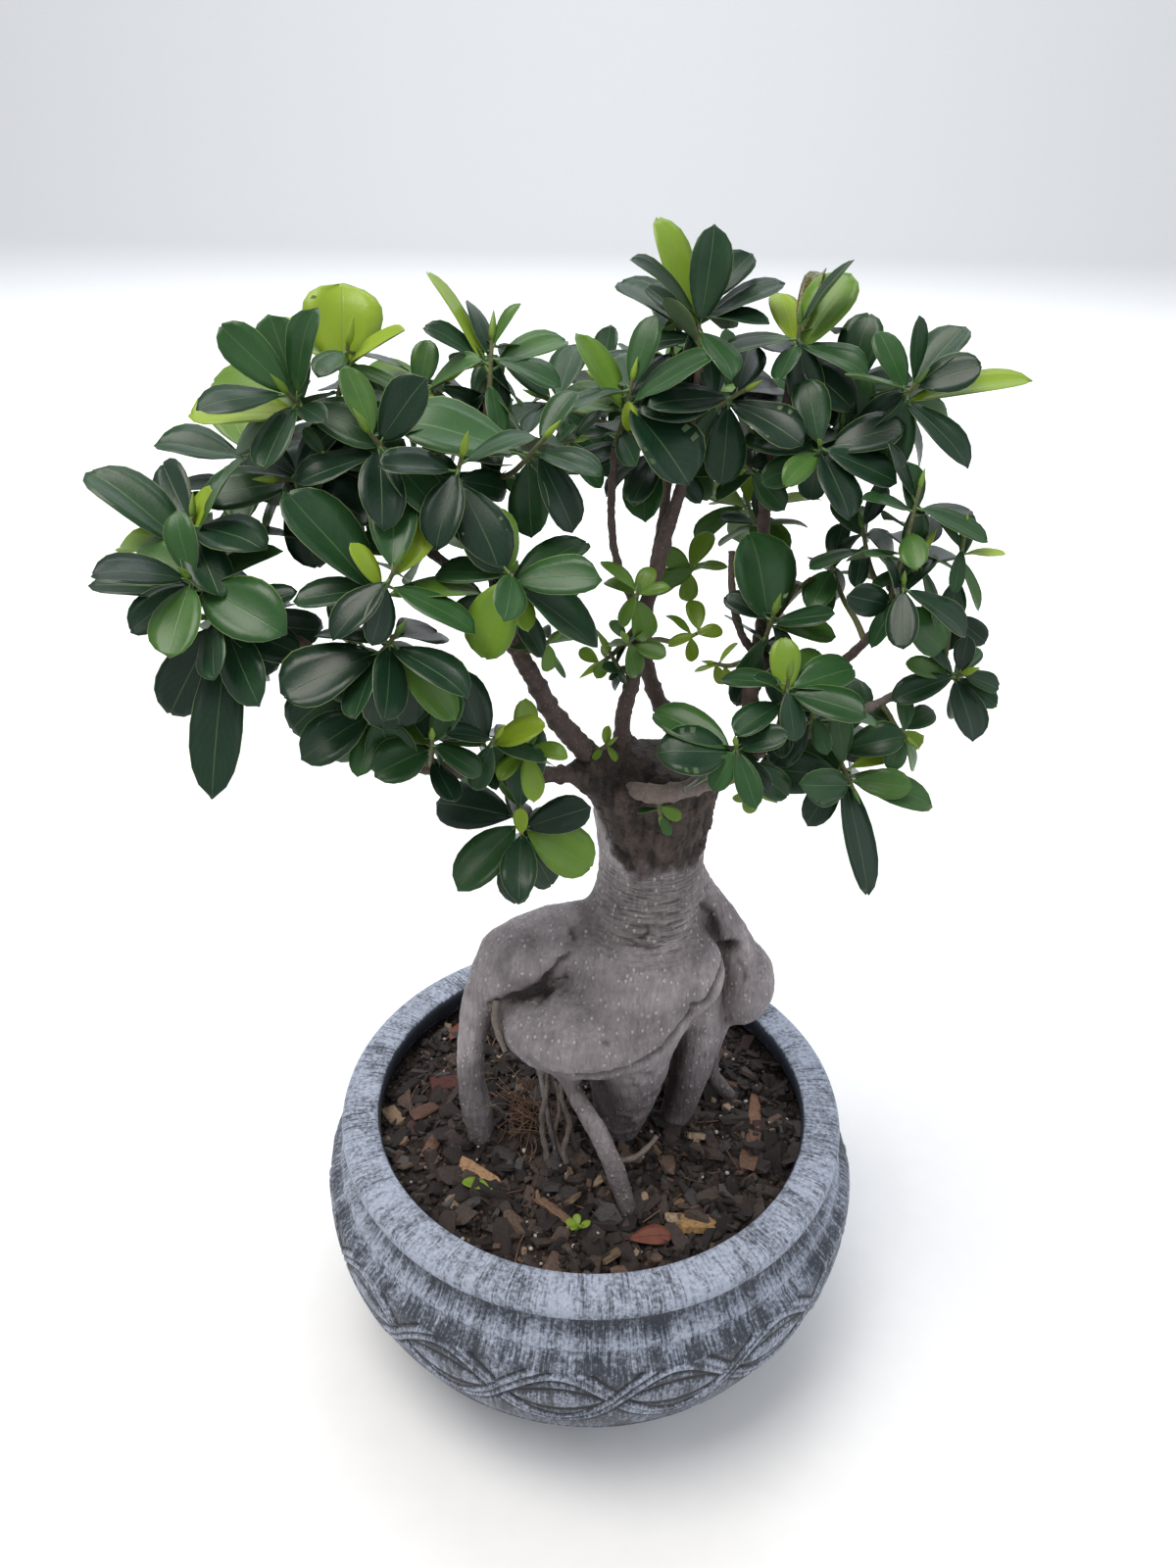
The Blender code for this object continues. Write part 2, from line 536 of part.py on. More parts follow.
def leaf_mesh(frame, length, share, thickness):
    """A closed leaf blade on a short stalk, folded along its midrib and bent at the tip."""
    work = bmesh.new()
    bmesh.ops.create_uvsphere(work, u_segments=4, v_segments=4, radius=1.0)
    half = length * share * 0.5
    stations = {4: (0.0, 0.02), 2: (0.20, 0.9), 0: (0.60, 1.0), -2: (0.88, 0.62), -4: (1.0, 0.02)}
    for vert in work.verts:
        level = int(round(math.asin(max(-1.0, min(1.0, vert.co.z))) / (math.pi / 8)))
        along, spread = stations[level]
        width = LEAF_STALK if level == 2 else half * spread
        rise = thickness * 0.5 if abs(level) < 4 else 0.0
        across = 1.0 if vert.co.y > 0.5 * abs(vert.co.x) and abs(vert.co.y) > 0.1 else 0.0
        across = -1.0 if -vert.co.y > 0.5 * abs(vert.co.x) and abs(vert.co.y) > 0.1 else across
        lift = 0.0
        if abs(vert.co.x) > 0.1:
            lift = rise if vert.co.x > 0 else -rise
        fold = abs(across) * width * LEAF_FOLD
        droop = -LEAF_DROOP * length * along * along
        vert.co = Vector((along * length, across * width, lift + fold + droop)) * MM
    work.transform(frame)
    bmesh.ops.recalc_face_normals(work, faces=work.faces)
    mesh = bpy.data.meshes.new("leaf")
    work.to_mesh(mesh)
    work.free()
    return mesh


def nearest_on_limb(points, target):
    """The point on a limb's centre line nearest to a target, with its radius."""
    best = None
    for first, second in zip(points, points[1:]):
        start = Vector(first[:3])
        step = Vector(second[:3]) - start
        share = max(0.0, min(1.0, (target - start).dot(step) / step.length_squared))
        spot = start + step * share
        radius = first[3] + (second[3] - first[3]) * share
        if best is None or (spot - target).length < best[2]:
            best = (spot, radius, (spot - target).length)
    return best


def twig_points(spray, drop, back):
    """The stem of a spray: from just off its limb to just past the rosette centre."""
    limb, centre, leaves = spray
    centre = Vector(centre)
    points = LIMBS[limb][1]
    target = centre - Vector((0.0, 0.0, drop))
    spot, radius, _ = nearest_on_limb(points, target)
    last = Vector(points[-1][:3])
    if (spot - last).length < 3.0:
        spot, radius = (last, 0.2) if back == 0 else (back_from_tip(points, back)[0], radius)
    heading = (centre - spot).normalized()
    start = spot + heading * (radius + TWIG_RADIUS + 1.5)
    bend = (start + centre) * 0.5 + Vector((0.0, 0.0, -0.08 * (centre - start).length))
    tip = centre + (centre - bend).normalized() * LEAF_STEP * (len(leaves) + 2) * 0.5
    return start, bend, tip


def spread_leaves(leaves):
    """The stated leaves and two more behind the stem, as (angle, lean, length, share)."""
    placed = []
    for index, (angle, length, share) in enumerate(leaves):
        placed.append((angle, LEAF_LEANS[index % len(LEAF_LEANS)], length, share))
    size = sum(leaf[1] for leaf in leaves) / len(leaves)
    placed.append((35, -62, size, 0.5))
    placed.append((150, -68, size * 0.9, 0.5))
    return [(angle, lean, length * LEAF_LENGTH_GAIN, share * LEAF_WIDTH_GAIN)
            for angle, lean, length, share in placed]


def back_from_tip(path, distance):
    """The point and heading at a distance back along a stem from its tip."""
    points = [Vector(point[:3]) for point in reversed(path)]
    for first, second in zip(points, points[1:]):
        step = second - first
        if distance <= step.length or second is points[-1]:
            spot = first + step.normalized() * min(distance, step.length - 0.8)
            return spot, -step.normalized()
        distance -= step.length


def hits(tree, others):
    return any(tree.overlap(other) for other in others)


def clear_stem(spray, solids):
    """The first route for a spray's stem that keeps off everything already placed."""
    for drop, back in STEM_DROPS:
        start, bend, tip = twig_points(spray, drop, back)
        for shift in STEM_SHIFTS:
            for depth in STEM_DEPTHS:
                middle = bend + Vector((shift, depth, 0.0))
                path = [(*start, TWIG_RADIUS), (*middle, TWIG_RADIUS), (*tip, TWIG_RADIUS * 0.8)]
                guide = tube_mesh("guide", path, 1, 0.4)
                tree = tree_of(guide)
                bpy.data.meshes.remove(guide)
                if not hits(tree, solids):
                    return path
    return None


def leaf_with_room(base, axis, leaf, solids, own):
    """The frame nearest to the wanted direction where a leaf touches nothing, or None."""
    angle, lean, length, share = leaf
    for turn in LEAF_TURNS:
        for tilt in LEAF_TILTS:
            way = clock_direction(angle + turn, lean + tilt)
            facing = (LEAF_FACING + axis * 0.35).normalized()
            if abs(way.dot(facing)) > 0.93:
                facing = Vector((0.0, -1.0, 0.25)).normalized()
            frame = leaf_frame(base * MM, way, facing)
            test = leaf_mesh(frame, length, share, LEAF_THICKNESS + 2 * LEAF_CLEARANCE)
            tree = tree_of(test)
            bpy.data.meshes.remove(test)
            if not hits(tree, solids) and not hits(tree, own):
                return frame
    return None


def make_spray(name, spray, group, cutters, solids):
    """A stem with its leaves fused on; a leaf that finds no room is left out."""
    twig_path = clear_stem(spray, solids)
    twig_mesh = tube_mesh(name, twig_path, 1)
    reach = sum((Vector(b[:3]) - Vector(a[:3])).length for a, b in zip(twig_path, twig_path[1:]))
    own = []
    blades = bmesh.new()
    wanted = spread_leaves(spray[2])
    pace = min(LEAF_STEP, (reach - 3.0) / len(wanted))
    for index, leaf in enumerate(wanted):
        base, axis = back_from_tip(twig_path, 1.5 + pace * (len(wanted) - 1 - index))
        frame = leaf_with_room(base, axis, leaf, solids, own)
        if frame:
            blade = leaf_mesh(frame, leaf[2], leaf[3], LEAF_THICKNESS)
            own.append(tree_of(blade))
            add_shape(blades, blade)
    blade_mesh = bpy.data.meshes.new(name + "_leaves")
    blades.to_mesh(blade_mesh)
    blades.free()
    stem = add_object(name, twig_mesh, group, "leaf_green")
    cutter = add_object(name + "_leaves", blade_mesh, cutters)
    hide_cutter(cutter)
    join = stem.modifiers.new("Leaves", "BOOLEAN")
    join.operation = "UNION"
    join.object = cutter
    solids.extend(own)
    solids.append(tree_of(twig_mesh))
    print(name, "leaves", len(own), "of", len(wanted))


def make_litter(group):
    for name, (x, y, height, heading, length, share, finish) in LITTER.items():
        turn = math.radians(heading)
        start = Vector((x, y, height)) * MM
        way = Vector((math.cos(turn), math.sin(turn), 0.09)).normalized()
        frame = leaf_frame(start, way, Vector((0.0, 0.0, 1.0)))
        mesh = leaf_mesh(frame, length, share, LEAF_THICKNESS)
        mesh.name = name
        add_object(name, mesh, group, finish)


def make_seedling(group, cutters):
    """A tiny seedling with three leaves that stands in the soil."""
    x, y, z = SEEDLING
    mesh = tube_mesh("seedling", ((x, y, z, 0.7), (x, y, z + 4, 0.6), (x + 1, y, z + 8, 0.6)), 1)
    stem = add_object("seedling", mesh, group, "leaf_young")
    blades = bmesh.new()
    for index in range(3):
        turn = math.tau * index / 3 + 0.4
        start = Vector((x + 0.7, y, z + 5.0 + index)) * MM
        way = Vector((math.cos(turn), math.sin(turn), 0.55)).normalized()
        frame = leaf_frame(start, way, Vector((0.0, 0.0, 1.0)))
        add_shape(blades, leaf_mesh(frame, 8.0, 0.5, LEAF_THICKNESS))
    blade_mesh = bpy.data.meshes.new("seedling_leaves")
    blades.to_mesh(blade_mesh)
    blades.free()
    cutter = add_object("seedling_leaves", blade_mesh, cutters)
    hide_cutter(cutter)
    join = stem.modifiers.new("Leaves", "BOOLEAN")
    join.operation = "UNION"
    join.object = cutter


def build():
    clear_scene()
    parts = make_collection("bonsai_tree")
    cutters = make_collection("bonsai_cutters")
    make_pot(parts, cutters)
    trunk = make_trunk(parts)
    trunk_cutter = swollen_copy("trunk_clearance", trunk, GAP, cutters)
    make_soil(parts, trunk_cutter)
    make_limbs(parts, cutters, trunk_cutter)
    solids = [tree_of(trunk.data)]
    for name in LIMBS:
        solids.append(tree_of(tube_mesh(name + "_solid", limb_path(name), 2)))
    make_litter(parts)
    make_seedling(parts, cutters)
    for name, spray in SPRAYS.items():
        make_spray("spray_" + name, spray, parts, cutters, solids)


build()
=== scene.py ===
import math
import random

import bpy
import bmesh
import numpy as np
from mathutils import Matrix, Vector
from mathutils.bvhtree import BVHTree
from mathutils.kdtree import KDTree


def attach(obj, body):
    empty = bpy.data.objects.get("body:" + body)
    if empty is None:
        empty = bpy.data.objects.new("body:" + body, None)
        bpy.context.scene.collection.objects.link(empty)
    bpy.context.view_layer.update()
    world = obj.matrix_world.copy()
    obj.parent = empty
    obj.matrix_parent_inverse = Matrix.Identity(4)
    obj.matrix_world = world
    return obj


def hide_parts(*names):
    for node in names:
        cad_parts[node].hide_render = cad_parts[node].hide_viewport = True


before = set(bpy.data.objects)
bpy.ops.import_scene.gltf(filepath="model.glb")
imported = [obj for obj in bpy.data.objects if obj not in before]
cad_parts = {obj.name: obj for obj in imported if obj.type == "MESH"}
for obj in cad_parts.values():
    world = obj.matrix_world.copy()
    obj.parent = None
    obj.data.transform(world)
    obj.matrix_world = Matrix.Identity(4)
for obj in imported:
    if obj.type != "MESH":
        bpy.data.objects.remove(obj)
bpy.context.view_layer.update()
mm = 0.001
print("frame loaded:", len(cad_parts), "nodes")


# small tools shared by every piece

def fromHex(code, alpha=1.0):
    # sRGB hex to the linear values that the shaders want
    parts = [int(code[i:i + 2], 16) / 255.0 for i in (0, 2, 4)]
    linear = [c / 12.92 if c <= 0.04045 else ((c + 0.055) / 1.055) ** 2.4 for c in parts]
    return (*linear, alpha)


def addNode(tree, kind, settings=None, links=None):
    # a link to a node takes its first output
    node = tree.nodes.new("ShaderNode" + kind)
    for name, value in (settings or {}).items():
        setattr(node, name, value)
    for socket, value in (links or {}).items():
        if isinstance(value, bpy.types.Node):
            value = value.outputs[0]
        if isinstance(value, bpy.types.NodeSocket):
            tree.links.new(value, node.inputs[socket])
        else:
            node.inputs[socket].default_value = value
    return node


def newMaterial(name):
    material = bpy.data.materials.new(name)
    material.use_nodes = True
    tree = material.node_tree
    return material, tree, tree.nodes["Principled BSDF"]


def backToObject():
    if bpy.context.mode != "OBJECT":
        bpy.ops.object.mode_set(mode="OBJECT")
    bpy.ops.object.select_all(action="DESELECT")


def meshPiece(name, verts, faces, uvs=None, floats=None, colours=None, material=None):
    # verts in metres; uvs, floats and colours are given per vertex
    mesh = bpy.data.meshes.new(name)
    mesh.from_pydata([tuple(v) for v in verts], [], [tuple(f) for f in faces])
    if uvs is not None:
        loops = np.zeros(len(mesh.loops), np.int32)
        mesh.loops.foreach_get("vertex_index", loops)
        layer = mesh.uv_layers.new(name="pieceUv")
        layer.data.foreach_set("uv", np.asarray(uvs, np.float32)[loops].ravel())
    for title, values in (floats or {}).items():
        layer = mesh.attributes.new(title, "FLOAT", "POINT")
        layer.data.foreach_set("value", np.asarray(values, np.float32))
    for title, values in (colours or {}).items():
        layer = mesh.attributes.new(title, "FLOAT_COLOR", "POINT")
        layer.data.foreach_set("color", np.asarray(values, np.float32).ravel())
    mesh.update()
    mesh.shade_smooth()
    item = bpy.data.objects.new(name, mesh)
    bpy.context.scene.collection.objects.link(item)
    if material:
        mesh.materials.append(material)
    return item


def applyAll(item):
    bpy.ops.object.select_all(action="DESELECT")
    item.select_set(True)
    bpy.context.view_layer.objects.active = item
    for modifier in list(item.modifiers):
        bpy.ops.object.modifier_apply(modifier=modifier.name)


def smoothPath(points, pieces):
    # a Catmull-Rom curve through (x, y, z, radius) points
    pts = [np.array(p, float) for p in points]
    pts = [2 * pts[0] - pts[1]] + pts + [2 * pts[-1] - pts[-2]]
    path = []
    for i in range(1, len(pts) - 2):
        a, b, c, d = pts[i - 1:i + 3]
        for k in range(pieces):
            t = k / pieces
            path.append(0.5 * (2 * b + (c - a) * t + (2 * a - 5 * b + 4 * c - d) * t * t
                + (3 * b - a - 3 * c + d) * t ** 3))
    path.append(pts[-2])
    return np.array(path)


def tubeObject(name, path, bevel):
    # a capped tube along (x, y, z, radius) points in millimetres, as a welded mesh
    bpy.ops.object.select_all(action="DESELECT")
    bpy.ops.curve.primitive_nurbs_path_add()
    item = bpy.context.object
    item.name = name
    curve = item.data
    curve.splines.clear()
    spline = curve.splines.new("POLY")
    spline.points.add(len(path) - 1)
    for point, row in zip(spline.points, path):
        point.co = (row[0] * mm, row[1] * mm, row[2] * mm, 1.0)
        point.radius = row[3]
    curve.bevel_depth = mm
    curve.bevel_resolution = bevel
    curve.use_fill_caps = True
    bpy.ops.object.convert(target="MESH")
    item = bpy.context.object
    work = bmesh.new()
    work.from_mesh(item.data)
    bmesh.ops.remove_doubles(work, verts=work.verts, dist=0.00001)
    bmesh.ops.recalc_face_normals(work, faces=work.faces)
    work.to_mesh(item.data)
    work.free()
    for layer in list(item.data.uv_layers):
        item.data.uv_layers.remove(layer)
    return item


def coordsOf(item):
    co = np.zeros(len(item.data.vertices) * 3, np.float32)
    item.data.vertices.foreach_get("co", co)
    return co.reshape(-1, 3).astype(float)


def normalsOf(item):
    co = np.zeros(len(item.data.vertices) * 3, np.float32)
    item.data.vertices.foreach_get("normal", co)
    return co.reshape(-1, 3).astype(float)


def setCoords(item, co):
    item.data.vertices.foreach_set("co", np.asarray(co, np.float32).ravel())
    item.data.update()


def addFloat(item, title, values):
    layer = item.data.attributes.new(title, "FLOAT", "POINT")
    layer.data.foreach_set("value", np.asarray(values, np.float32))


def treeOf(item):
    verts = [v.co.copy() for v in item.data.vertices]
    return BVHTree.FromPolygons(verts, [list(p.vertices) for p in item.data.polygons])


def noiseAt(points, scale, seed=0.0, turns=3):
    # seeded value noise for each point, about -1 to 1
    table = np.random.default_rng(11).uniform(-1.0, 1.0, 4096)
    spot = np.asarray(points) * scale + seed * 17.3
    total, size = np.zeros(len(spot)), 1.0
    for _ in range(turns):
        cell = np.floor(spot).astype(np.int64)
        part = spot - cell
        part = part * part * (3 - 2 * part)
        for corner in range(8):
            step = np.array([corner & 1, corner >> 1 & 1, corner >> 2])
            key = (cell + step) * np.array([73856093, 19349663, 83492791])
            value = table[(key[:, 0] ^ key[:, 1] ^ key[:, 2]) & 4095]
            total += size * value * np.prod(np.where(step, part, 1 - part), axis=1)
        spot = spot * 2.03 + 11.3
        size *= 0.5
    return total


# camera, floor and light

cameraSet = {"place": (-0.0056, -0.4784, 0.607), "lens": 26.0, "pitch": 29.3, "roll": 1.2}
lightSet = {"skyStrength": 0.62, "sky": "f2f5fa"}
# soft panels: power, tint, size and place in metres
lightPanels = {
    "keyPanel": (27.0, "fff9f2", 1.1, (-0.55, -0.25, 2.0)),
    "fillPanel": (3.6, "eef2fa", 1.2, (1.2, -0.6, 1.0)),
    "backPanel": (3.6, "eef2fa", 1.4, (0.3, 1.4, 1.5)),
    "sweepPanel": (260.0, "eef2fa", 3.0, (0.0, 2.2, 3.6))}


def makeCamera():
    pitch = math.radians(cameraSet["pitch"])
    roll = math.radians(cameraSet["roll"])
    ahead = Vector((0, math.cos(pitch), -math.sin(pitch)))
    up = Vector((0, math.sin(pitch), math.cos(pitch)))
    right = Vector((1, 0, 0))
    across = right * math.cos(roll) + up * math.sin(roll)
    upright = up * math.cos(roll) - right * math.sin(roll)
    data = bpy.data.cameras.new("camera")
    data.lens = cameraSet["lens"]
    data.sensor_width = 36.0
    data.clip_start = 0.01
    camera = bpy.data.objects.new("camera", data)
    bpy.context.scene.collection.objects.link(camera)
    turn = Matrix((across, upright, -ahead)).transposed().to_4x4()
    turn.translation = Vector(cameraSet["place"])
    camera.matrix_world = turn
    bpy.context.scene.camera = camera


def makeFloor():
    backToObject()
    bpy.ops.mesh.primitive_plane_add(size=16.0, location=(0, 3.0, -0.0012))
    floor = bpy.context.object
    floor.name = "studioFloor"
    bpy.ops.object.mode_set(mode="EDIT")
    bpy.ops.mesh.select_all(action="DESELECT")
    bpy.ops.object.mode_set(mode="OBJECT")
    for edge in floor.data.edges:
        edge.select = all(floor.data.vertices[v].co.y > 7.9 for v in edge.vertices)
    bpy.ops.object.mode_set(mode="EDIT")
    bpy.ops.mesh.select_mode(type="EDGE")
    bpy.ops.mesh.extrude_region_move(TRANSFORM_OT_translate={"value": (0, 0, 7.0)})
    bpy.ops.object.mode_set(mode="OBJECT")
    bend = floor.modifiers.new("sweep", "BEVEL")
    bend.width = 3.0
    bend.segments = 12
    applyAll(floor)
    floor.data.shade_smooth()
    material, tree, shader = newMaterial("matt studio paper")   # pale paper, no gloss
    coord = addNode(tree, "TexCoord").outputs["Object"]
    grain = addNode(tree, "TexNoise", None, {"Vector": coord, "Scale": 60.0, "Detail": 3.0})
    tone = addNode(tree, "Mix", {"data_type": "RGBA"}, {0: grain, 6: fromHex("f3f3f2"),
        7: fromHex("f8f8f7")})
    tree.links.new(tone.outputs[2], shader.inputs["Base Color"])
    shader.inputs["Roughness"].default_value = 0.95
    floor.data.materials.append(material)


def makeLights():
    world = bpy.data.worlds.new("softWorld")
    bpy.context.scene.world = world
    world.use_nodes = True
    back = world.node_tree.nodes["Background"]
    back.inputs["Color"].default_value = fromHex(lightSet["sky"])
    back.inputs["Strength"].default_value = lightSet["skyStrength"]
    bpy.context.scene.view_settings.view_transform = "Standard"
    for name, (power, tint, size, place) in lightPanels.items():
        lamp = bpy.data.lights.new(name, "AREA")
        lamp.energy = power
        lamp.color = fromHex(tint)[:3]
        lamp.size = size
        panel = bpy.data.objects.new(name, lamp)
        bpy.context.scene.collection.objects.link(panel)
        panel.location = place
        target = Vector((0.0, 5.5, 0.8)) if name == "sweepPanel" else Vector((0.0, 0.0, 0.25))
        aim = target - Vector(place)
        panel.rotation_euler = aim.to_track_quat("-Z", "Y").to_euler()


makeCamera()
makeFloor()
makeLights()
print("camera, floor and light ready")


# pot: cast fibre-clay bowl, stained charcoal and dry-brushed with pale lavender

potSet = {"columns": 704, "rows": 72, "belly": 150.5, "bellyZ": 90.0, "arc": 118.0, "wall": 9.0,
    "eyes": 16, "firstCrossing": 5.5, "waveMid": 82.0, "waveHeight": 19.0, "reliefDepth": 1.1,
    "drainRadius": 6.0, "drainCircle": 45.0}


def bellyRadius(z):
    height = (potSet["bellyZ"] - z) / potSet["arc"]
    return potSet["belly"] * np.sqrt(np.maximum(0.0, 1.0 - height ** 2))


def potOutline():
    # (radius, height) in millimetres from inside the bowl, over the rim and down to the foot
    p = potSet
    inside = [(bellyRadius(z) - p["wall"], z) for z in (20, 45, 70, 92)]
    outline = [(0, 10), (20, 10), (52, 10), (bellyRadius(14) - p["wall"] - 8, 10)] + inside
    outline += [(130, 112), (121, 124), (119, 132), (119.2, 135.5), (120.6, 137.6), (123, 138)]
    outline += [(126, 138), (129, 137.9), (132, 137.9), (135, 137.8), (137.5, 137.3), (139.3, 136),
        (140, 134), (140, 131.5), (139.4, 129.4), (138, 127.8), (136, 126.2), (135, 124),
        (134.8, 121.8), (135.6, 119.4), (137, 117), (138.6, 115), (140.3, 113.3), (141.4, 112.2),
        (142.2, 111), (142.2, 109.6), (141.6, 108.4), (142.6, 107)]
    top = 105.0
    for i in range(p["rows"] + 1):
        z = top - (top - 38.0) * i / p["rows"]
        ease = max(0.0, (z - 98.0) / 7.0)
        outline.append((bellyRadius(z) * (1 - ease) + (143.6 + (105 - z) * 0.9) * ease, z))
    outline += [(bellyRadius(z), z) for z in (34, 29, 24, 19, 14, 10, 6, 3)]
    outline += [(bellyRadius(1.2) - 0.6, 1.2), (bellyRadius(0) - 2.2, 0), (70, 0), (40, 0), (0, 0)]
    return outline


def strandHeight(offset, halfWidth):
    # one raised strand: a rounded band with a groove down its middle and one on each edge
    d = abs(offset)
    body = np.clip(1.0 - (d / halfWidth) ** 4, 0.0, 1.0)
    centreGroove = np.exp(-(d / 0.85) ** 2)
    edgeGroove = np.exp(-((d - halfWidth - 0.5) / 0.9) ** 2)
    return body - 1.6 * centreGroove, edgeGroove


def waveRelief(angle, z):
    # two strands in opposite waves that cross in turn, with an almond inside each eye
    p = potSet
    step = math.tau / p["eyes"]
    phase = (angle - math.radians(p["firstCrossing"])) / step * math.pi
    wobble = 0.6 * np.sin(3 * angle) + 0.4 * np.sin(7 * angle + 1.0)
    mid = p["waveMid"] + wobble
    swing = np.sin(phase)
    lift = np.sign(swing) * np.abs(swing) ** 0.9 * p["waveHeight"]
    slope = np.cos(phase) * p["waveHeight"] / (bellyRadius(z) * step) * math.pi
    lean = 1.0 / np.sqrt(1.0 + slope ** 2)
    crossing = np.floor(phase / math.pi + 0.5)
    overFirst = (crossing % 2) == 0
    first, firstEdge = strandHeight((z - mid - lift) * lean, 4.2)
    second, secondEdge = strandHeight((z - mid + lift) * lean, 4.2)
    onFirst = np.abs((z - mid - lift) * lean) < 5.2
    onSecond = np.abs((z - mid + lift) * lean) < 5.2
    top = np.where(overFirst, first, second)
    low = np.where(overFirst, second, first)
    topOn = np.where(overFirst, onFirst, onSecond)
    topEdge = np.where(overFirst, firstEdge, secondEdge)
    lowEdge = np.where(overFirst, secondEdge, firstEdge)
    rise = np.where(topOn, top - topEdge, np.maximum(low, 0.0) - 0.9 * lowEdge)
    inner = np.abs(swing) * 9.6 - 1.2                      # almond inside the eye
    gap = (np.abs(z - mid) - inner) * 0.9
    inEye = np.abs(z - mid) < np.abs(lift) - 5.0
    almond = np.where(inner > 0.6, np.exp(-(gap / 0.8) ** 2), 0.0)
    core = np.where((inner > 3.0) & (np.abs(z - mid) < inner - 2.8), 0.55, 0.0)
    rise = np.where(inEye & ~topOn, rise - 1.0 * almond + core, rise)
    return rise


def makePotMaterial():
    # fibre-clay cast in a mould, stained charcoal, then dry-brushed: the pale paint catches
    # on high spots and drags in streaks down the wall and across the rim; the grooves get painted
    # shade
    material, tree, shader = newMaterial("dry-brushed fibre-clay")
    ring = addNode(tree, "Attribute", {"attribute_name": "ringPlace"})
    relief = addNode(tree, "Attribute", {"attribute_name": "relief"})
    brush = addNode(tree, "Attribute", {"attribute_name": "brushAmount"})
    coord = addNode(tree, "TexCoord").outputs["Object"]
    streakPlace = addNode(tree, "Mapping", None,      # streaks 1.2 mm wide, 12 mm long
            {"Vector": ring.outputs["Vector"], "Scale": (820.0, 820.0, 75.0)})
    streaks = addNode(tree, "TexNoise", None, {"Vector": streakPlace, "Scale": 1.0, "Detail": 5.0,
        "Roughness": 0.62})
    dabPlace = addNode(tree, "Mapping", None, {"Vector": ring.outputs["Vector"],
        "Scale": (70.0, 70.0, 26.0)})
    dabs = addNode(tree, "TexNoise", None, {"Vector": dabPlace, "Scale": 1.0, "Detail": 4.0,
        "Roughness": 0.6})
    speck = addNode(tree, "TexNoise", None, {"Vector": coord,
            "Scale": 520.0, "Detail": 4.0, "Roughness": 0.7})    # 2 mm broken dabs
    mixed = addNode(tree, "Mix", {"data_type": "FLOAT"}, {0: 0.48, 2: streaks, 3: speck})
    raised = addNode(tree, "Math", {"operation": "MULTIPLY_ADD"}, {0: relief.outputs["Fac"], 1: 0.11,
        2: mixed})
    patch = addNode(tree, "Math", {"operation": "MULTIPLY_ADD"}, {0: dabs, 1: 0.42, 2: raised})
    level = addNode(tree, "Math", {"operation": "ADD"}, {0: patch, 1: brush.outputs["Fac"]})
    paint = addNode(tree, "MapRange", {"interpolation_type": "SMOOTHSTEP"},
        {"Value": level, "From Min": 0.66, "From Max": 0.92})
    stainMix = addNode(tree, "Mix", {"data_type": "RGBA"}, {0: dabs, 6: fromHex("20252e"),
        7: fromHex("3b424f")})
    # painted shade: the grooves are painted near-black over the charcoal stain
    groove = addNode(tree, "MapRange", None, {"Value": relief.outputs["Fac"], "From Min": -0.8,
        "From Max": -0.05, "To Min": 0.95, "To Max": 0.0})
    stain = addNode(tree, "Mix", {"data_type": "RGBA"}, {0: groove, 6: stainMix.outputs[2],
        7: fromHex("101217")})
    paleMix = addNode(tree, "Mix", {"data_type": "RGBA"}, {0: speck, 6: fromHex("7b8599"),
        7: fromHex("c0c7d6")})
    colour = addNode(tree, "Mix", {"data_type": "RGBA"}, {0: paint, 6: stain.outputs[2],
        7: paleMix.outputs[2]})
    # more painted shade in the grooves
    grooveShade = addNode(tree, "Math", {"operation": "MULTIPLY"}, {0: groove, 1: 0.8})
    grooveShaded = addNode(tree, "Mix", {"data_type": "RGBA"}, {0: grooveShade, 6: colour.outputs[2],
        7: fromHex("14161c")})
    tree.links.new(grooveShaded.outputs[2], shader.inputs["Base Color"])
    rough = addNode(tree, "MapRange", None, {"Value": paint, "To Min": 0.52, "To Max": 0.72})
    tree.links.new(rough.outputs[0], shader.inputs["Roughness"])
    grain = addNode(tree, "TexNoise", None, {"Vector": coord,
            "Scale": 900.0, "Detail": 3.0})              # sandy cast surface, 1 mm
    grainSum = addNode(tree, "Math", {"operation": "MULTIPLY_ADD"}, {0: paint, 1: 0.35, 2: grain})
    bump = addNode(tree, "Bump", None, {"Height": grainSum, "Strength": 0.35, "Distance": 0.0006})
    tree.links.new(bump.outputs["Normal"], shader.inputs["Normal"])
    return material


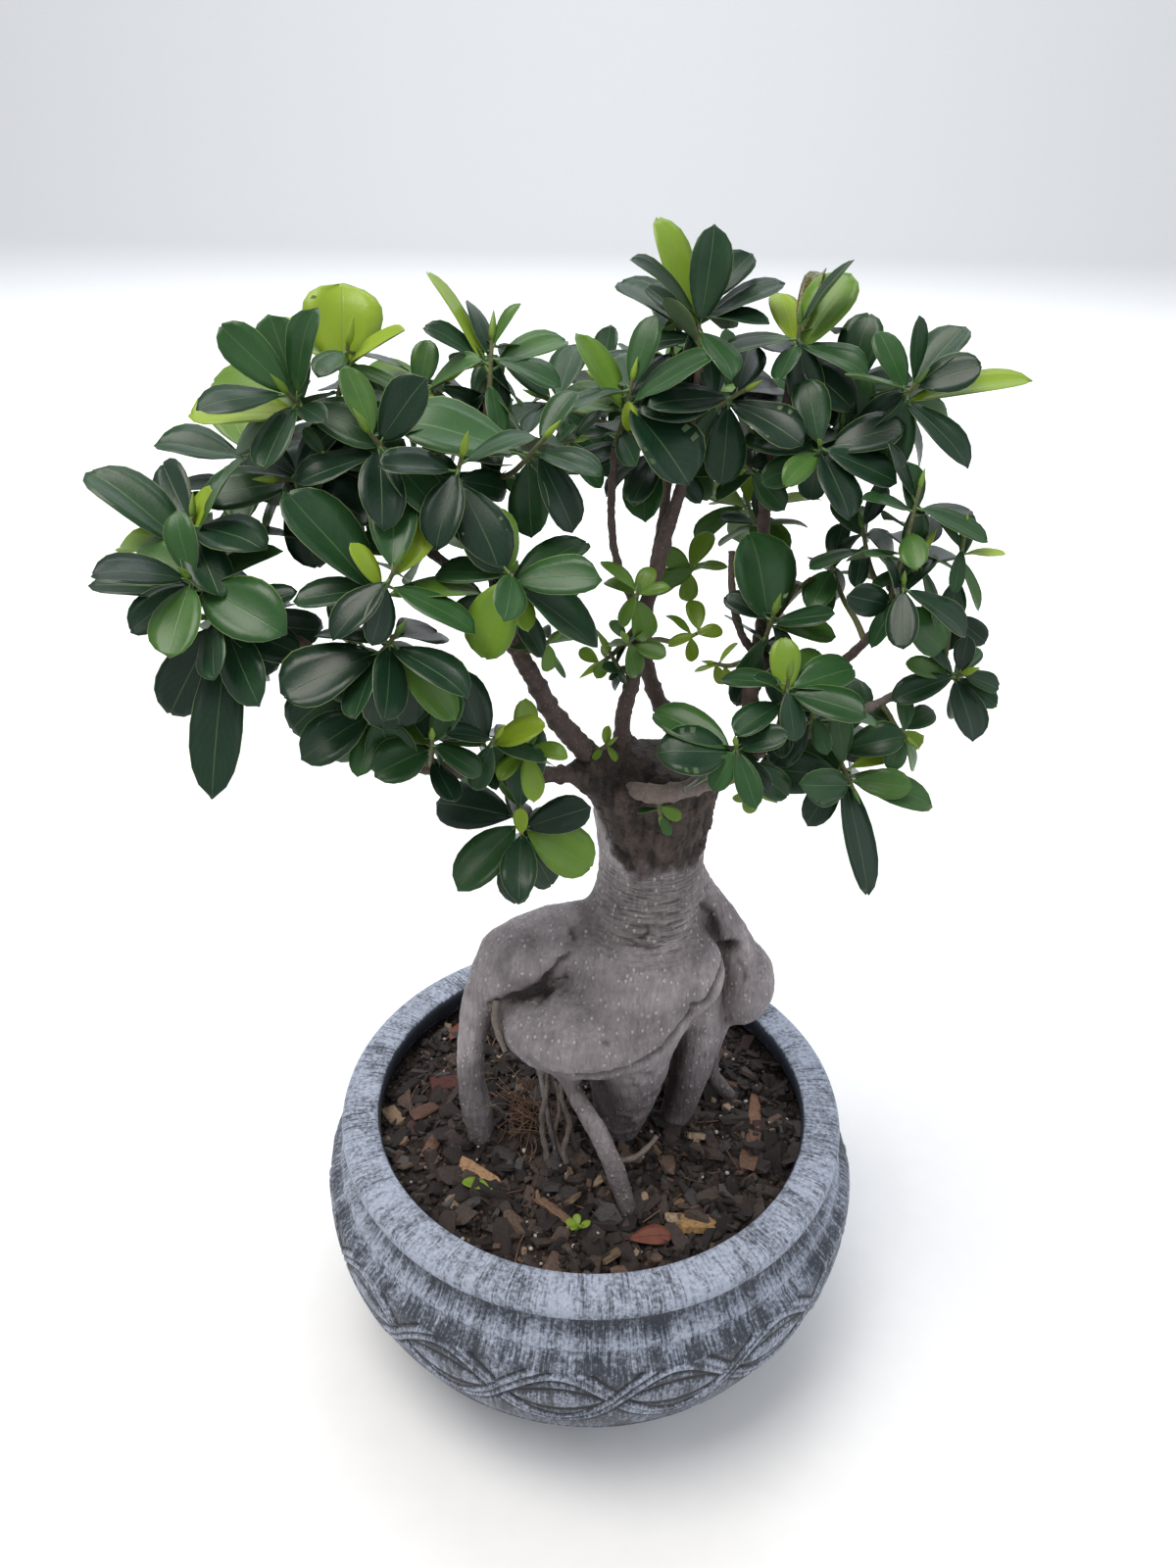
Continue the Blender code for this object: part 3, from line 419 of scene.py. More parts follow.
def makePot():
    outline = potOutline()
    backToObject()
    bpy.ops.mesh.primitive_plane_add(size=0.01)
    pot = bpy.context.object
    pot.name = "antiquedPot"
    bpy.ops.object.mode_set(mode="EDIT")
    bpy.ops.mesh.delete(type="VERT")
    bpy.ops.object.mode_set(mode="OBJECT")
    pot.data.from_pydata([(r * mm, 0, z * mm) for r, z in outline],
        [(i, i + 1) for i in range(len(outline) - 1)], [])
    bpy.ops.object.mode_set(mode="EDIT")
    bpy.ops.mesh.select_all(action="SELECT")
    bpy.ops.mesh.spin(steps=potSet["columns"], angle=math.tau, center=(0, 0, 0), axis=(0, 0, 1))
    bpy.ops.mesh.select_all(action="SELECT")
    bpy.ops.mesh.remove_doubles(threshold=0.00002)
    bpy.ops.mesh.normals_make_consistent(inside=False)
    bpy.ops.object.mode_set(mode="OBJECT")
    co = coordsOf(pot)
    radius = np.hypot(co[:, 0], co[:, 1])
    angle = np.arctan2(co[:, 0], -co[:, 1])
    z = co[:, 2] / mm
    outer = (np.abs(radius - bellyRadius(z) * mm) < 0.9 * mm) & (z < 105.5)
    rise = np.zeros(len(co))
    band = outer & (z > 40)
    fade = np.clip((106.0 - z) / 3.0, 0, 1) * np.clip((z - 50.0) / 6.0, 0, 1)
    rise[band] = waveRelief(angle[band], z[band]) * fade[band]
    outward = np.stack([co[:, 0], co[:, 1], np.zeros(len(co))], 1)
    outward /= np.maximum(np.linalg.norm(outward, axis=1), 1e-9)[:, None]
    shift = rise * potSet["reliefDepth"] * 0.75 * mm
    shift -= np.where(band, 0.7 * mm, 0.0)                     # stays inside the cast size
    co += outward * shift[:, None]
    setCoords(pot, co)
    # how much pale paint each zone took: most on the rim, least under the belly
    amount = np.interp(z, [0, 30, 60, 84, 100, 106, 109, 112, 118, 123, 128, 134, 138],
        [.04, .02, .00, .00, .00, .04, .11, .13, .03, -.02, .08, .16, .12])
    inside = (radius < 0.1195) & (z > 20) & (z < 137)
    amount = np.where(inside, -0.22, amount)
    along = np.where(z > 137, radius, 0.135 + (138 - z) * mm)
    place = pot.data.attributes.new("ringPlace", "FLOAT_VECTOR", "POINT")
    safe = np.maximum(radius, 1e-5)
    ring = np.stack([co[:, 0] / safe * 0.15, co[:, 1] / safe * 0.15, along], 1)
    place.data.foreach_set("vector", ring.astype(np.float32).ravel())
    addFloat(pot, "relief", rise)
    addFloat(pot, "brushAmount", amount)
    for i in range(4):
        turn = math.tau * (i + 0.5) / 4
        bpy.ops.object.select_all(action="DESELECT")
        bpy.ops.mesh.primitive_cylinder_add(vertices=24, radius=potSet["drainRadius"] * mm,
            depth=0.04, location=(math.cos(turn) * potSet["drainCircle"] * mm, math.sin(turn)
            * potSet["drainCircle"] * mm, 0.0))
        drill = bpy.context.object
        cut = pot.modifiers.new("drain", "BOOLEAN")
        cut.object = drill
        cut.operation = "DIFFERENCE"
        applyAll(pot)
        bpy.data.objects.remove(drill)
    pot.data.shade_smooth()
    pot.data.materials.clear()
    pot.data.materials.append(makePotMaterial())
    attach(pot, "root")
    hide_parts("pot")
    return pot


pot = makePot()
print("pot ready:", len(pot.data.polygons), "faces")


# root trunk: swollen ginseng roots with a grafted stump, grown as one smooth skin

trunkSet = {"voxel": 1.3, "blend": 2.6, "stumpFrom": 297.0, "cutTop": 347.0, "cutCentre": (32, 9),
    "cutRadius": 27, "settleRounds": 4, "shadeReach": (4.0, 10.0, 24.0)}

# each chain is (x, y, z, radius) in millimetres, from the body outwards
trunkChains = {
    "stump": ((27, 3, 285, 25.0), (27, 4, 302, 26.5), (27, 5, 322, 30.0), (28, 6, 341, 31.5)),
    "torso": ((27, 3, 300, 24.5), (27, 2, 283, 26.0), (25, 0, 262, 30.0), (22, -3, 238, 35.0),
        (16, -6, 215, 38.0), (16, -4, 200, 32.0)),
    "arm": ((2, -6, 256, 16.0), (-22, -9, 251, 19.0), (-42, -13, 240, 18.0), (-57, -17, 222, 12.5),
        (-64, -20, 198, 8.8), (-66, -21, 166, 8.4), (-62, -22, 138, 9.0), (-60, -22, 96, 7.0)),
    "centreLeg": ((16, -16, 198, 27.0), (19, -15, 175, 23.5), (18, -15, 151, 18.5),
        (16, -14, 130, 14.0), (17, -12, 98, 5.0)),
    "rightLeg": ((50, 4, 216, 18.0), (57, 0, 194, 13.0), (56, -2, 162, 12.0), (49, -3, 124, 10.0),
        (47, -3, 94, 7.0)),
    "rightRidge": ((46, 6, 286, 7.5), (60, 9, 260, 11.5), (72, 12, 236, 13.5), (79, 13, 214, 16.0),
        (80, 11, 200, 12.0)),
    "rightBackRoot": ((66, 8, 185, 10.0), (66, 10, 160, 7.0), (70, 11, 140, 5.5), (82, 14, 121, 5.0),
        (88, 16, 98, 4.0)),
    "backLeftLeg": ((-4, 20, 205, 17.0), (-10, 34, 165, 11.0), (-18, 40, 128, 8.5),
        (-21, 42, 96, 6.5)),
    "backRightLeg": ((42, 22, 200, 17.0), (50, 36, 160, 10.5), (58, 42, 126, 8.0), (60, 44, 96, 6.0)),
    "frontRoot": ((-12, -33, 200, 6.0), (-13, -41, 186, 5.2), (2, -52, 163, 6.0), (13, -62, 142, 6.4),
        (21, -70, 119, 5.6), (24, -73, 100, 4.4)),
    "thinRootLeft": ((-28, -30, 200, 3.0), (-27, -36, 182, 2.2), (-23, -37, 154, 2.2),
        (-18, -39, 123, 2.4), (-17, -40, 104, 2.4)),
    "thinRootRight": ((-18, -30, 196, 3.0), (-20, -34, 178, 2.2), (-14, -33, 152, 2.3),
        (-8, -33, 126, 2.6), (-7, -34, 105, 2.6)),
    "leftStub": ((8, -8, 338, 11.0), (-5, -18, 352, 7.0), (-13, -25, 358, 5.0)),
    "upperStub": ((8, -8, 340, 11.0), (0, -15, 357, 7.0), (-6, -18, 366, 5.6)),
    "centreStub": ((12, -6, 338, 10.0), (9, -10, 358, 5.8), (10, -9, 368, 4.6)),
    "rightStub": ((12, -12, 335, 9.0), (9, -20, 343, 6.4), (13, -24, 348, 4.6)),
    "backStub": ((36, 16, 330, 11.0), (44, 24, 342, 7.0), (40, 26, 349, 5.4))}

# swellings: centre and half-axes in millimetres
trunkSwellings = {
    "belly": ((-4, -26, 211), (46, 31, 28)),
    "chest": ((22, -12, 236), (38, 30, 36)),
    "hip": ((49, -15, 236), (19, 19, 23)),
    "rightLobe": ((82, 14, 207), (18, 20, 25)),
    "back": ((26, 16, 226), (45, 29, 40)),
    "leftShoulder": ((-34, -11, 244), (25, 17, 16))}

# folds and seams: a line of (x, y, z) points, depth and half width in millimetres, darkness of the
# painted shade in the fold
trunkFolds = {
    "armFold": (((-12, -26, 256), (-21, -28, 246), (-25, -29, 238), (-31, -29, 233), (-41, -29, 229),
        (-54, -28, 224)), 4.6, 2.3, 0.5),
    "armHook": (((-20, -28, 241), (-25, -32, 235), (-28, -36, 229)), 2.6, 2.0, 0.5),
    "hipUpper": (((53, -8, 276), (58, -3, 266), (62, -2, 254), (65, -2, 244)), 3.4, 2.0, 0.5),
    "hipFold": (((66, -2, 243), (64, -16, 245), (62, -26, 241), (60, -30, 235), (56, -32, 230),
        (49, -35, 230)), 4.4, 2.3, 0.6),
    "bellyUnder": (((50, -34, 230), (46, -32, 219), (40, -37, 210), (30, -44, 206), (18, -50, 203),
        (6, -53, 201), (-8, -52, 198), (-22, -49, 197)), 4.4, 2.6, 0.5),
    "lobeHollow": (((65, -2, 243), (70, 1, 242), (75, 2, 242)), 6.5, 3.6, 0.95),
    "lobeCrack": (((75, -4, 240), (80, -7, 228), (79, -8, 220)), 1.4, 1.6, 0.5),
    "graftLeft": (((-4, -22, 347), (-2, -15, 333), (3, -13, 322), (6, -15, 315), (11, -19, 311),
        (18, -22, 308)), 3.2, 1.8, 1.0),
    "graftMid": (((19, -26, 340), (21, -23, 328), (20, -23, 314)), 1.8, 1.1, 0.8),
    "graftRight": (((56, -2, 330), (56, -1, 320), (52, -10, 315), (45, -15, 311)), 2.4, 1.4, 0.95),
    "neckEye": (((14, -27, 272), (20, -27, 274), (26, -28, 273), (22, -30, 269), (16, -29, 269)), 1.6,
        1.2, 0.7),
    "neckEyeLow": (((18, -29, 265), (24, -30, 264), (31, -29, 267)), 1.2, 1.1, 0.6),
    "chestScar": (((-10, -17, 268), (-12, -20, 264), (-9, -23, 259)), 1.8, 1.7, 0.7),
    "bellyScar": (((4, -52, 222), (8, -53, 221)), 1.2, 1.6, 0.6),
    "thighLine": (((24, -44, 190), (32, -40, 186), (34, -36, 178)), 1.0, 1.2, 0.4)}

# raised rolls beside the folds, same form with a negative depth
trunkRolls = {
    "graftRoll": (((-4, -18, 330), (0, -17, 318), (5, -20, 309), (14, -24, 302)), -1.8, 2.4, 0.0),
    "rightRoll": (((58, -6, 322), (56, -13, 312), (50, -18, 304)), -1.8, 2.6, 0.0),
    "kneeRing": (((7, -27, 147), (11, -31, 153), (17, -34, 155), (24, -32, 148), (22, -28, 139),
        (13, -27, 137), (8, -27, 142)), -2.0, 1.3, 0.0),
    "kneeKnob": (((23, -40, 184), (28, -38, 182)), -2.4, 2.2, 0.0),
    "foldStrand": (((-16, -30, 243), (-20, -34, 236), (-21, -38, 229)), -1.8, 1.6, 0.0)}


def segmentDistance(points, line):
    # distance from every point to a polyline, with the radius there
    best = np.full(len(points), 1e9)
    for a, b in zip(line[:-1], line[1:]):
        start, step = a[:3], b[:3] - a[:3]
        share = np.clip((points - start) @ step / max(step @ step, 1e-9), 0, 1)
        gap = np.linalg.norm(points - start - share[:, None] * step, axis=1)
        if len(a) > 3:
            gap = gap - (a[3] + (b[3] - a[3]) * share)
        best = np.minimum(best, gap)
    return best


def trunkDistance(points):
    # signed distance to the grown skin: every chain and swelling melted together
    total = np.zeros(len(points))
    k = trunkSet["blend"]
    for line in trunkChains.values():
        total += np.exp(-np.clip(segmentDistance(points, smoothPath(line, 2)), -60, 60) / k)
    for centre, axes in trunkSwellings.values():
        scaled = (points - np.array(centre)) / np.array(axes)
        size = np.linalg.norm(scaled, axis=1)
        steep = np.linalg.norm(scaled / np.array(axes), axis=1)
        gap = size * (size - 1.0) / np.maximum(steep, 1e-6)
        total += np.exp(-np.clip(gap, -60, 60) / k)
    return -k * np.log(total) + 0.35 * k


def neighbourMean(item, values, rounds):
    edges = np.zeros(len(item.data.edges) * 2, np.int32)
    item.data.edges.foreach_get("vertices", edges)
    edges = edges.reshape(-1, 2)
    count = np.bincount(edges.ravel(), minlength=len(values)).astype(float)[:, None]
    for _ in range(rounds):
        total = np.zeros_like(values)
        np.add.at(total, edges[:, 0], values[edges[:, 1]])
        np.add.at(total, edges[:, 1], values[edges[:, 0]])
        values = total / count
    return values


def makeBarkMaterial():
    # smooth grey-taupe ficus root skin: fine growth lines, pale corky lenticels, painted shade in
    # folds, hollows and closed-in spots, darker towards the foot; above the graft the brown fissured
    # bark of the old stump
    material, tree, shader = newMaterial("ficus root bark")
    coord = addNode(tree, "TexCoord").outputs["Object"]
    stump = addNode(tree, "Attribute", {"attribute_name": "stump"})
    creaseShade = addNode(tree, "Attribute", {"attribute_name": "creaseShade"})
    neck = addNode(tree, "Attribute", {"attribute_name": "neck"})
    foot = addNode(tree, "Attribute", {"attribute_name": "foot"})
    paintedShade = addNode(tree, "Attribute", {"attribute_name": "paintedShade"})
    broad = addNode(tree, "TexNoise", None, {"Vector": coord,
            "Scale": 28.0, "Detail": 4.0, "Roughness": 0.6})      # 35 mm clouds
    blotch = addNode(tree, "TexNoise", None, {"Vector": coord,
            "Scale": 120.0, "Detail": 5.0, "Roughness": 0.65})   # 8 mm mottling
    linePlace = addNode(tree, "Mapping", None,                  # 2 mm growth lines
            {"Vector": coord, "Scale": (520.0, 520.0, 85.0)})
    lines = addNode(tree, "TexNoise", None, {"Vector": linePlace, "Scale": 1.0, "Detail": 4.0,
        "Roughness": 0.6})
    ringPlace = addNode(tree, "Mapping", None,                  # neck wrinkles, 2 mm
            {"Vector": coord, "Scale": (95.0, 95.0, 640.0)})
    rings = addNode(tree, "TexNoise", None, {"Vector": ringPlace, "Scale": 1.0, "Detail": 4.0,
        "Distortion": 0.6})
    corkPlace = addNode(tree, "Mapping", None, {"Vector": coord, "Scale": (310.0, 310.0, 215.0)})
    cork = addNode(tree, "TexVoronoi", None, {"Vector": corkPlace,
            "Scale": 1.0, "Randomness": 1.0})                      # lenticels 3 mm apart
    chosen = addNode(tree, "SeparateColor", None, {"Color": cork.outputs["Color"]})
    dot = addNode(tree, "MapRange", {"interpolation_type": "SMOOTHSTEP"},
        {"Value": cork, "From Min": 0.17, "From Max": 0.34, "To Min": 0.62, "To Max": 0.0})
    pick = addNode(tree, "MapRange", None, {"Value": chosen, "From Min": 0.20, "From Max": 0.50})
    lenticel = addNode(tree, "Math", {"operation": "MULTIPLY"}, {0: dot, 1: pick})
    base = addNode(tree, "ValToRGB", None, {"Fac": broad})
    base.color_ramp.elements[0].position = 0.32
    base.color_ramp.elements[0].color = fromHex("70686a")
    base.color_ramp.elements[1].position = 0.68
    base.color_ramp.elements[1].color = fromHex("aea5a7")
    mottled = addNode(tree, "Mix", {"data_type": "RGBA", "blend_type": "OVERLAY"},
        {0: 0.42, 6: base, 7: blotch})
    lined = addNode(tree, "Mix", {"data_type": "RGBA", "blend_type": "OVERLAY"},
        {0: 0.55, 6: mottled.outputs[2], 7: lines})
    dotted = addNode(tree, "Mix", {"data_type": "RGBA"}, {0: lenticel, 6: lined.outputs[2],
        7: fromHex("dfd8d5")})
    wrinkle = addNode(tree, "MapRange", None, {"Value": rings, "From Min": 0.56, "From Max": 0.68,
        "To Max": 0.6})
    paleLine = addNode(tree, "Math", {"operation": "MULTIPLY"}, {0: wrinkle, 1: neck.outputs["Fac"]})
    wrinkled = addNode(tree, "Mix", {"data_type": "RGBA"}, {0: paleLine, 6: dotted.outputs[2],
        7: fromHex("b3a89e")})
    gap = addNode(tree, "MapRange", None, {"Value": rings, "From Min": 0.46, "From Max": 0.36,
        "To Max": 0.8})
    darkLine = addNode(tree, "Math", {"operation": "MULTIPLY"}, {0: gap, 1: neck.outputs["Fac"]})
    necked = addNode(tree, "Mix", {"data_type": "RGBA"}, {0: darkLine, 6: wrinkled.outputs[2],
        7: fromHex("514741")})
    oldBark = addNode(tree, "ValToRGB", None, {"Fac": blotch})
    oldBark.color_ramp.elements[0].position = 0.36
    oldBark.color_ramp.elements[0].color = fromHex("2f2521")
    oldBark.color_ramp.elements[1].position = 0.72
    oldBark.color_ramp.elements[1].color = fromHex("62524a")
    sawn = addNode(tree, "Attribute", {"attribute_name": "cut"})
    crown = addNode(tree, "Mix", {"data_type": "RGBA"},      # grey weathered cut
            {0: sawn.outputs["Fac"], 6: oldBark, 7: fromHex("8d837c")})
    upper = addNode(tree, "Mix", {"data_type": "RGBA"}, {0: stump.outputs["Fac"],
        6: necked.outputs[2], 7: crown.outputs[2]})
    # darker towards the foot: painted shade of the legs under the belly, with soil staining near the
    # soil
    footShadeAmount = addNode(tree, "Math", {"operation": "MULTIPLY"}, {0: foot.outputs["Fac"], 1: 0.55})
    footShaded = addNode(tree, "Mix", {"data_type": "RGBA", "blend_type": "MULTIPLY"},
        {0: footShadeAmount, 6: upper.outputs[2], 7: fromHex("6a5d56")})
    # painted shade multiplied in where the skin is closed in
    shadeDarkened = addNode(tree, "Mix", {"data_type": "RGBA", "blend_type": "MULTIPLY"},
        {0: paintedShade.outputs["Fac"], 6: footShaded.outputs[2], 7: fromHex("8b7f7c")})
    # painted shade: near-black in folds, fissures and hollows
    creaseShaded = addNode(tree, "Mix", {"data_type": "RGBA"}, {0: creaseShade.outputs["Fac"],
        6: shadeDarkened.outputs[2], 7: fromHex("17110f")})
    tree.links.new(creaseShaded.outputs[2], shader.inputs["Base Color"])
    rough = addNode(tree, "MapRange", None, {"Value": blotch, "To Min": 0.58, "To Max": 0.86})
    tree.links.new(rough.outputs[0], shader.inputs["Roughness"])
    rugged = addNode(tree, "Math", {"operation": "MULTIPLY_ADD"}, {0: blotch, 1: 1.6, 2: lines})
    fine = addNode(tree, "Mix", {"data_type": "FLOAT"}, {0: stump.outputs["Fac"], 2: lines,
        3: rugged})
    ringAmount = addNode(tree, "Math", {"operation": "MULTIPLY_ADD"}, {0: neck.outputs["Fac"], 1: 2.4,
        2: 0.35})
    withRings = addNode(tree, "Math", {"operation": "MULTIPLY_ADD"}, {0: rings, 1: ringAmount,
        2: fine})
    height = addNode(tree, "Math", {"operation": "MULTIPLY_ADD"}, {0: lenticel, 1: 0.7, 2: withRings})
    bump = addNode(tree, "Bump", None, {"Height": height, "Strength": 1.0, "Distance": 0.0018})
    tree.links.new(bump.outputs["Normal"], shader.inputs["Normal"])
    return material


def makeTrunk():
    backToObject()
    shapes = [tubeObject("chain", smoothPath(line, 3), 4) for line in trunkChains.values()]
    for centre, axes in trunkSwellings.values():
        bpy.ops.object.select_all(action="DESELECT")
        bpy.ops.mesh.primitive_ico_sphere_add(subdivisions=4, radius=1.0)
        ball = bpy.context.object
        setCoords(ball, coordsOf(ball) * np.array(axes) * mm + np.array(centre) * mm)
        shapes.append(ball)
    bpy.ops.object.select_all(action="DESELECT")
    for shape in shapes:
        shape.select_set(True)
    bpy.context.view_layer.objects.active = shapes[0]
    bpy.ops.object.join()
    trunk = bpy.context.object
    trunk.name = "rootTrunk"
    fuse = trunk.modifiers.new("fuse", "REMESH")
    fuse.mode = "VOXEL"
    fuse.voxel_size = trunkSet["voxel"] * mm
    applyAll(trunk)
    work = bmesh.new()
    work.from_mesh(trunk.data)
    seen = set()
    bodies = []
    for first in work.verts:
        if first in seen:
            continue
        seen.add(first)
        stack, body = [first], [first]
        while stack:
            for edge in stack.pop().link_edges:
                for vert in edge.verts:
                    if vert not in seen:
                        seen.add(vert)
                        stack.append(vert)
                        body.append(vert)
        bodies.append(body)
    bodies.sort(key=len)
    bmesh.ops.delete(work, geom=[v for body in bodies[:-1] for v in body], context="VERTS")
    work.to_mesh(trunk.data)
    work.free()
    co = coordsOf(trunk) / mm
    for _ in range(trunkSet["settleRounds"]):       # settle onto the melted skin
        co -= normalsOf(trunk) * np.clip(trunkDistance(co) * 0.9, -2.5, 2.5)[:, None]
        setCoords(trunk, co * mm)
    co = neighbourMean(trunk, co, 2)
    setCoords(trunk, co * mm)
    normal = normalsOf(trunk)
    z = co[:, 2]
    stumpEdge = trunkSet["stumpFrom"] + 2.0 * np.maximum(13 - co[:, 0], 0)
    stumpEdge += (2.0 * np.maximum(co[:, 0] - 47, 0) + 3.5 * noiseAt(co, 0.09, 1.0) + 4.5
        * noiseAt(co, 0.35, 9.0))
    stump = np.clip((z - stumpEdge) / 9.0, 0, 1)
    neck = np.clip((z - 262) / 10, 0, 1) * np.clip((300 - z) / 8, 0, 1)
    push = 0.55 * noiseAt(co, 0.07, 2.0) + 0.20 * noiseAt(co, 0.24, 3.0)
    stretched = co * np.array([0.62, 0.62, 0.10])
    push += (0.16 + 0.35 * stump) * noiseAt(stretched, 1.0, 4.0)
    flat = co * np.array([0.09, 0.09, 0.55])
    push += 0.40 * neck * noiseAt(flat, 1.0, 5.0)
    bark = co * np.array([0.24, 0.24, 0.055])
    ridged = 1.0 - 2.0 * np.abs(noiseAt(bark, 1.0, 6.0))
    push += stump * (1.25 * ridged - 0.2 + 0.5 * noiseAt(co, 0.45, 7.0))
    # painted shade in the fissures of the stump bark
    creaseShade = stump * np.clip((0.15 - ridged) * 1.2, 0, 0.8)
    skin = KDTree(len(co))
    for number, point in enumerate(co):
        skin.insert(point, number)
    skin.balance()
    for line, depth, width, dark in list(trunkFolds.values()) + list(trunkRolls.values()):
        trail = np.array([skin.find(point)[0] for point in smoothPath(line, 6)])
        ends = np.abs(np.linspace(-1, 1, len(trail))) ** 3 * -2.4      # folds die out at their ends
        gap = segmentDistance(co, np.column_stack([trail, ends]))
        gap = gap + 0.8 * noiseAt(co, 0.2, 8.0, 2)
        shape = np.exp(-(np.maximum(gap, 0) / width) ** 2)
        push -= depth * shape
        # painted shade along the fold
        creaseShade = np.maximum(creaseShade, dark * shape ** 2.5)
    co += normal * push[:, None]
    folded = creaseShade > 0.05
    co[folded] = neighbourMean(trunk, co, 2)[folded]
    above = co[:, 2] > trunkSet["cutTop"]
    cutX, cutY = trunkSet["cutCentre"]
    nearAxis = np.hypot(co[:, 0] - cutX, co[:, 1] - cutY) < trunkSet["cutRadius"]
    cut = above & nearAxis & (co[:, 1] > -12)
    co[cut, 2] = trunkSet["cutTop"] + (co[cut, 2] - trunkSet["cutTop"]) * 0.12
    soft = neighbourMean(trunk, co, 6)
    hollow = np.einsum("ij,ij->i", soft - co, normal)
    # painted shade in hollows of the skin
    creaseShade = np.maximum(creaseShade, np.clip((hollow - 0.15) * 1.2, 0, 0.5))
    paintedShade = np.zeros(len(co))              # painted shade: how closed-in each spot is
    for reach in trunkSet["shadeReach"]:
        paintedShade += np.clip(1.0 - trunkDistance(co + normal * reach) / reach, 0, 1) / 3.0
    setCoords(trunk, co * mm)
    addFloat(trunk, "paintedShade", np.clip(paintedShade * 1.5, 0, 1))
    addFloat(trunk, "cut", cut * np.clip((9.0 - np.abs(co[:, 2] - trunkSet["cutTop"])) / 4.0, 0, 1)
        * np.clip((normal[:, 2] - 0.3) * 3, 0, 1))
    addFloat(trunk, "stump", stump)
    addFloat(trunk, "creaseShade", creaseShade)
    addFloat(trunk, "neck", np.clip((z - 250) / 16, 0, 1) * np.clip((304 - z) / 8, 0, 1)
        * np.clip(1.5 - np.abs(co[:, 0] - 26) / 26, 0, 1))
    # foot: painted shade of the legs under the belly, with soil staining near the soil
    addFloat(trunk, "foot", np.clip((185 - z) / 60, 0, 1))
    trunk.data.shade_smooth()
    trunk.data.materials.clear()
    trunk.data.materials.append(makeBarkMaterial())
    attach(trunk, "root")
    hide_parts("trunk")
    return trunk


trunk = makeTrunk()
print("trunk ready:", len(trunk.data.polygons), "faces")


# limbs: thin rough twigs of the grafted head

limbSet = {"ringStep": 1.1, "sides": 5, "tuck": 5.0, "nodeStep": 11.0}

# each limb: what it grows out of, then (x, y, z, radius) in millimetres
limbLines = {
    "left_low_limb": ("trunk", ((-10, -22, 356, 4.2), (-24, -34, 362, 3.8), (-49, -50, 370, 3.5),
        (-65, -58, 377, 3.3), (-81, -60, 379, 2.5))),
    "left_long_limb": ("left_low_limb", ((-66, -58, 377, 2.6), (-85, -62, 389, 2.4),
        (-97, -62, 410, 2.1), (-108, -62, 425, 2.1), (-124, -60, 436, 2.0), (-143, -55, 442, 2.0),
        (-155, -52, 449, 1.9), (-164, -50, 460, 1.7))),
    "left_upper_limb": ("trunk", ((-3, -16, 361, 5.2), (-13, -22, 375, 5.0), (-22, -28, 390, 4.5),
        (-30, -34, 409, 4.0), (-38, -38, 427, 3.5), (-44, -38, 447, 2.8), (-48, -28, 468, 2.3),
        (-50, -12, 492, 2.0), (-50, 2, 514, 1.7))),
    "left_fork_limb": ("left_upper_limb", ((-39, -38, 430, 2.4), (-60, -30, 452, 2.2),
        (-76, -24, 463, 2.1), (-90, -17, 471, 2.0), (-103, -15, 479, 1.9), (-110, -15, 490, 1.8),
        (-112, -15, 507, 1.6))),
    "centre_limb": ("trunk", ((10, -10, 362, 4.2), (10, -8, 380, 3.7), (14, -5, 398, 3.6),
        (16, 0, 419, 3.5), (22, 5, 441, 3.3), (27, 8, 463, 3.0), (33, 12, 485, 2.4),
        (36, 20, 508, 2.0), (38, 27, 527, 1.7))),
    "centre_side_stem": ("centre_limb", ((17, 1, 422, 2.0), (10, 6, 436, 1.9), (4, 9, 452, 1.8),
        (2, 11, 472, 1.7), (3, 14, 496, 1.6))),
    "back_limb": ("trunk", ((44, 25, 343, 4.8), (34, 28, 360, 4.4), (26, 31, 375, 4.0),
        (21, 36, 392, 3.6), (22, 46, 416, 3.0), (27, 58, 445, 2.6), (30, 72, 470, 2.1),
        (31, 84, 490, 1.8))),
    "right_low_limb": ("trunk", ((10, -16, 347, 1.4), (16, -25, 350, 3.6), (24, -30, 351, 4.5),
        (33, -30, 352, 4.3), (47, -32, 358, 4.0), (60, -31, 363, 4.0), (69, -28, 372, 3.7),
        (78, -25, 378, 3.4), (89, -22, 379, 3.1), (103, -20, 381, 2.7), (114, -18, 387, 2.4),
        (128, -15, 394, 2.1), (140, -12, 399, 1.9), (152, -11, 403, 1.7))),
    "right_rising_limb": ("right_low_limb", ((69, -28, 372, 3.6), (66, -22, 388, 3.7),
        (67, -10, 400, 3.7), (71, 4, 409, 3.6), (74, 16, 426, 3.2), (72, 24, 449, 3.0),
        (71, 28, 474, 2.7), (72, 30, 492, 2.2), (76, 30, 510, 1.9), (79, 30, 527, 1.6))),
    "right_fork_limb": ("right_rising_limb", ((71, 29, 476, 2.2), (84, 25, 484, 2.0),
        (96, 22, 495, 1.9), (109, 18, 506, 1.8), (117, 14, 513, 1.6))),
    "right_mid_limb": ("right_rising_limb", ((71, 3, 408, 2.8), (84, -4, 396, 2.5),
        (97, -8, 399, 2.3), (107, -11, 410, 2.1), (115, -17, 424, 1.9), (119, -23, 438, 1.7))),
    "inner_stem": ("right_rising_limb", ((70, 1, 407, 1.9), (62, -2, 418, 1.8), (57, 2, 434, 1.7),
        (56, 12, 452, 1.6)))}


def nearestOnLimb(points, target):
    # the point of a limb's centre line nearest to a target, with its radius
    best = None
    for first, second in zip(points, points[1:]):
        start = Vector(first[:3])
        step = Vector(second[:3]) - start
        share = max(0.0, min(1.0, (target - start).dot(step) / step.length_squared))
        spot = start + step * share
        radius = first[3] + (second[3] - first[3]) * share
        if best is None or (spot - target).length < best[2]:
            best = (spot, radius, (spot - target).length)
    return best


